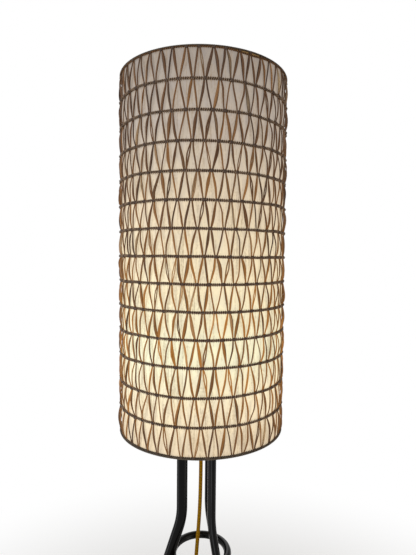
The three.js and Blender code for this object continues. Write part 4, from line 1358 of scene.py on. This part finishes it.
class LAMP_OT_stand(bpy.types.Operator):
    """Makes the bent tube legs, their rubber feet and the brace ring"""

    bl_idname = "lamp.stand"
    bl_label = "Legs, feet and brace ring"

    TOP_RADIUS = 35 * MM
    DEPTH, WIDTH = 20 * MM, 12.5 * MM
    SPLAY = math.radians(18)
    BEND_RADIUS = 135 * MM
    BEND_HIGH = SHADE_FOOT - 156 * MM
    BEND_LOW = BEND_HIGH - BEND_RADIUS * math.sin(SPLAY)
    TUBE_END = 10 * MM
    STEPS = 16

    def leg_point(self, height):
        """How far out the leg's middle stands, and its slope, at a height."""
        if height >= self.BEND_HIGH:
            return self.TOP_RADIUS, 0.0
        if height <= self.BEND_LOW:
            out = self.TOP_RADIUS + self.BEND_RADIUS * (1 - math.cos(self.SPLAY))
            return out + (self.BEND_LOW - height) * math.tan(self.SPLAY), self.SPLAY
        turn = math.asin((self.BEND_HIGH - height) / self.BEND_RADIUS)
        return self.TOP_RADIUS + self.BEND_RADIUS * (1 - math.cos(turn)), turn

    def execute(self, context):
        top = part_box("leg_left")[1].z
        heights = [top, top - 40 * MM, top - 90 * MM, self.BEND_HIGH]
        for start, end in ((self.BEND_HIGH, self.BEND_LOW), (self.BEND_LOW, self.TUBE_END)):
            heights += [start + (end - start) * step / self.STEPS for step in range(1, self.STEPS + 1)]
        for side, angle in zip(LEG_SIDES, LEG_ANGLES):
            tube = [(height, 0.0) for height in heights]
            self.skin(f"leg_tube_{side}", angle, tube, "black_lacquer", f"leg_{side}")
            self.foot(side, angle)
        round_hoop("brace_hoop", "brace_ring", 128, 28, "stand", "black_lacquer")
        return {"FINISHED"}

    def skin(self, name, angle, marks, slot, node, flat_below=0.0):
        """A skin round a leg through (height, distance from the tube). Low down it can lie flat."""
        outward = outward_of(angle)
        tangent = UP.cross(outward)
        last = len(marks) - 1

        def place(along, around):
            height, wall = marks[round(along * last)]
            out, slope = self.leg_point(height)
            section = TURN * around
            lean = outward * math.cos(slope) + UP * math.sin(slope)
            point = (
                Vector((AXIS_X, 0, height)) + outward * out
                + lean * ((self.DEPTH / 2 + wall) * math.cos(section))
                + tangent * ((self.WIDTH / 2 + wall) * math.sin(section)))
            if height < flat_below:
                point.z = height + (point.z - height) * eased(height, 0.0, flat_below)
            return point

        rolled_piece(name, last, 40, place, "stand", slot, [node])

    def foot(self, side, angle):
        """A rubber ferrule with three ribs, flat on the floor."""
        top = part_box(f"foot_{side}")[1].z - 4 * MM
        marks = (
            (0.0, 2.2), (0.03, 2.5), (0.16, 2.5), (0.3, 2.4), (0.36, 1.7), (0.42, 2.4), (0.5, 2.4),
            (0.56, 1.7), (0.62, 2.4), (0.7, 2.4), (0.76, 1.7), (0.82, 2.4), (0.94, 2.4), (0.98, 2.0),
            (1.0, 1.0),
        )
        rubber = [(top * share, wall * MM) for share, wall in marks]
        self.skin(f"foot_cap_{side}", angle, rubber, "rubber", f"foot_{side}", top * 0.3)


class LAMP_OT_hub(bpy.types.Operator):
    """Makes the hub plate, its screws, the cable entry and the strain relief"""

    bl_idname = "lamp.hub"
    bl_label = "Hub"

    def execute(self, context):
        low, high, reach = drum("hub_plate")
        bore = 5.4 * MM
        plate = rounded([(bore, low), (reach, low), (reach, high), (bore, high)], 1 * MM)
        turned_piece("hub_disc", [*plate, (bore, low)], 96, "stand", "black_lacquer", "hub_plate")
        for side in LEG_SIDES:
            self.screw(f"cap_screw_{side}", f"hub_screw_{side}")
            dressed("zinc", f"leg_plug_{side}")
        low, high, _ = drum("strain_relief")
        collar = high - 9 * MM
        outline = [(3.6 * MM, high), (7.5 * MM, high), (7.5 * MM, collar)]
        for rib in range(6):
            share = rib / 6
            radius = (7.0 - 1.6 * share) * MM
            start = collar - (collar - low) * share
            outline += [(radius - 0.9 * MM, start - 0.4 * MM), (radius - 0.9 * MM, start - 1.4 * MM),
                        (radius, start - 1.8 * MM), (radius, start - 3.2 * MM)]
        outline += [(4.9 * MM, low), (3.6 * MM, low), (3.6 * MM, high)]
        turned_piece("strain_relief_boot", outline, 40, "stand", "rubber", "strain_relief")
        dressed("zinc", "nipple", "lock_nut")
        dressed("flex_textile", "lead_in")
        return {"FINISHED"}

    def screw(self, name, node):
        """A cap screw with a recess in its head."""
        low, high, head = drum(node)
        middle = box_middle(node)
        under = high - 2.4 * MM
        outline = [
            (0, low), (2 * MM, low), (2 * MM, under), (head, under), (head, under + 0.9 * MM),
            (head * 0.85, under + 1.7 * MM), (head * 0.6, high - 0.15 * MM), (1.9 * MM, high),
            (1.9 * MM, under + 0.9 * MM), (0, under + 0.9 * MM)]
        turned_piece(name, outline, 32, "stand", "zinc", node, (middle.x, middle.y))


class LAMP_OT_holder(bpy.types.Operator):
    """Makes the lampholder, its contacts and the clamp ring"""

    bl_idname = "lamp.holder"
    bl_label = "Lampholder"

    def execute(self, context):
        low, high, _ = drum("holder_base")
        cup = rounded([
            (6 * MM, low + 2 * MM), (6 * MM, low), (14 * MM, low), (22 * MM, low + 10.8 * MM),
            (22 * MM, high), (20 * MM, high), (20 * MM, high - 10 * MM), (12 * MM, low + 3 * MM),
            (6 * MM, low + 2 * MM)], 1.2 * MM)
        turned_piece("holder_cup", cup, 72, "stand", "holder_plastic", "holder_base")
        low, high, _ = drum("holder_sleeve")
        outline = [(14.9 * MM, low), (22 * MM, low), (22 * MM, low + 2 * MM), (19.4 * MM, low + 2.2 * MM)]
        threads = 8
        for thread in range(threads):
            start = low + 3 * MM + thread * (high - low - 5 * MM) / threads
            outline += [(19.4 * MM, start), (20 * MM, start + 1.2 * MM), (20 * MM, start + 1.9 * MM),
                        (19.4 * MM, start + 3.0 * MM)]
        outline += [(19.2 * MM, high), (14.9 * MM, high), (14.9 * MM, low)]
        turned_piece("holder_tube", outline, 72, "stand", "holder_plastic", "holder_sleeve")
        self.clamp()
        dressed("ceramic", "holder_core")
        dressed("brass", "centre_contact", "side_contact")
        return {"FINISHED"}

    def clamp(self):
        """A ring with fifty finger ribs."""
        low, high, reach = drum("clamp_ring")
        ribs, steps = 50, 200
        section = rounded([
            (WASHER_BORE, low), (reach, low), (reach, high), (WASHER_BORE, high), (WASHER_BORE, low)],
            0.8 * MM, 2)
        last = len(section) - 1

        def place(along, around):
            radius, height = section[round(around * last) % last]
            angle = TURN * along
            if radius > reach - 1.2 * MM:
                radius -= 0.45 * MM * (1 - math.cos(ribs * angle))
            return on_ring(angle, radius, height)

        rolled_piece(
            "clamp_collar", steps, last, place, "clamp", "holder_plastic", ["clamp_ring"], ring_closed=True)


class LAMP_OT_bulb(bpy.types.Operator):
    """Makes the bulb: threaded cap, collar and opal globe"""

    bl_idname = "lamp.bulb"
    bl_label = "Bulb"

    def execute(self, context):
        low, high, reach = drum("bulb_cap")
        outline = [(0, low), (4.5 * MM, low), (5.5 * MM, low + 0.6 * MM),
                   (reach - 2.4 * MM, low + 2.4 * MM)]
        pitch = (high - low - 8 * MM) / 5
        for thread in range(5):
            start = low + 3 * MM + thread * pitch
            for share in (0.0, 0.25, 0.5, 0.75):
                outline.append(
                    (reach - 0.6 * MM - 0.6 * MM * math.cos(TURN * share), start + pitch * share))
        outline += [(reach - 1.2 * MM, high - 5 * MM), (reach - 0.9 * MM, high), (0, high)]
        turned_piece("bulb_screw_cap", outline, 48, "bulb", "bulb_metal", "bulb_cap")
        low, high, neck = drum("bulb_collar")
        outline = [(0, low), (13.5 * MM, low), (13.9 * MM, low + 1.5 * MM), (16 * MM, low + 7 * MM),
                   (neck, high - 1 * MM), (neck - 0.3 * MM, high), (0, high)]
        turned_piece("bulb_neck", outline, 64, "bulb", "ceramic", "bulb_collar")
        low, high, radius = drum("bulb_globe")
        start = -math.acos(min(1.0, (neck - 0.4 * MM) / radius))
        outline = [(0, low), (neck - 0.6 * MM, low)]
        steps = 20
        for step in range(steps):
            angle = start + (math.pi / 2 - start) * step / steps
            outline.append((radius * math.cos(angle), high - radius + radius * math.sin(angle)))
        turned_piece("bulb_glass", [*outline, (0.0, high)], 64, "bulb", "opal_glass", "bulb_globe")
        return {"FINISHED"}


OPERATORS = (
    LAMP_OT_studio, LAMP_OT_switch, LAMP_OT_plug, LAMP_OT_hub, LAMP_OT_flex, LAMP_OT_rims, LAMP_OT_liner,
    LAMP_OT_raffia, LAMP_OT_twine, LAMP_OT_carrier, LAMP_OT_stand, LAMP_OT_holder, LAMP_OT_bulb,
)


class LAMP_PT_panel(bpy.types.Panel):
    """Lists the lamp's pieces and sizes"""

    bl_idname = "LAMP_PT_panel"
    bl_label = "Rattan Floor Lamp"
    bl_space_type = "VIEW_3D"
    bl_region_type = "UI"
    bl_category = "Lamp"

    def draw(self, context):
        for operator in OPERATORS:
            self.layout.operator(operator.bl_idname)
        for group, settings in GROUPS.items():
            column = self.layout.column(align=True)
            for name in settings.__annotations__:
                column.prop(getattr(context.scene, group), name)


def register():
    for group, settings in GROUPS.items():
        bpy.utils.register_class(settings)
        setattr(bpy.types.Scene, group, bpy.props.PointerProperty(type=settings))
    for entry in (*OPERATORS, LAMP_PT_panel):
        bpy.utils.register_class(entry)


def unregister():
    for entry in (LAMP_PT_panel, *reversed(OPERATORS)):
        bpy.utils.unregister_class(entry)
    for group, settings in GROUPS.items():
        delattr(bpy.types.Scene, group)
        bpy.utils.unregister_class(settings)


def main():
    """Makes every piece."""
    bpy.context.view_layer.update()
    register()
    for operator in OPERATORS:
        getattr(bpy.ops.lamp, operator.bl_idname.split(".")[1])()


if __name__ == "__main__":
    main()
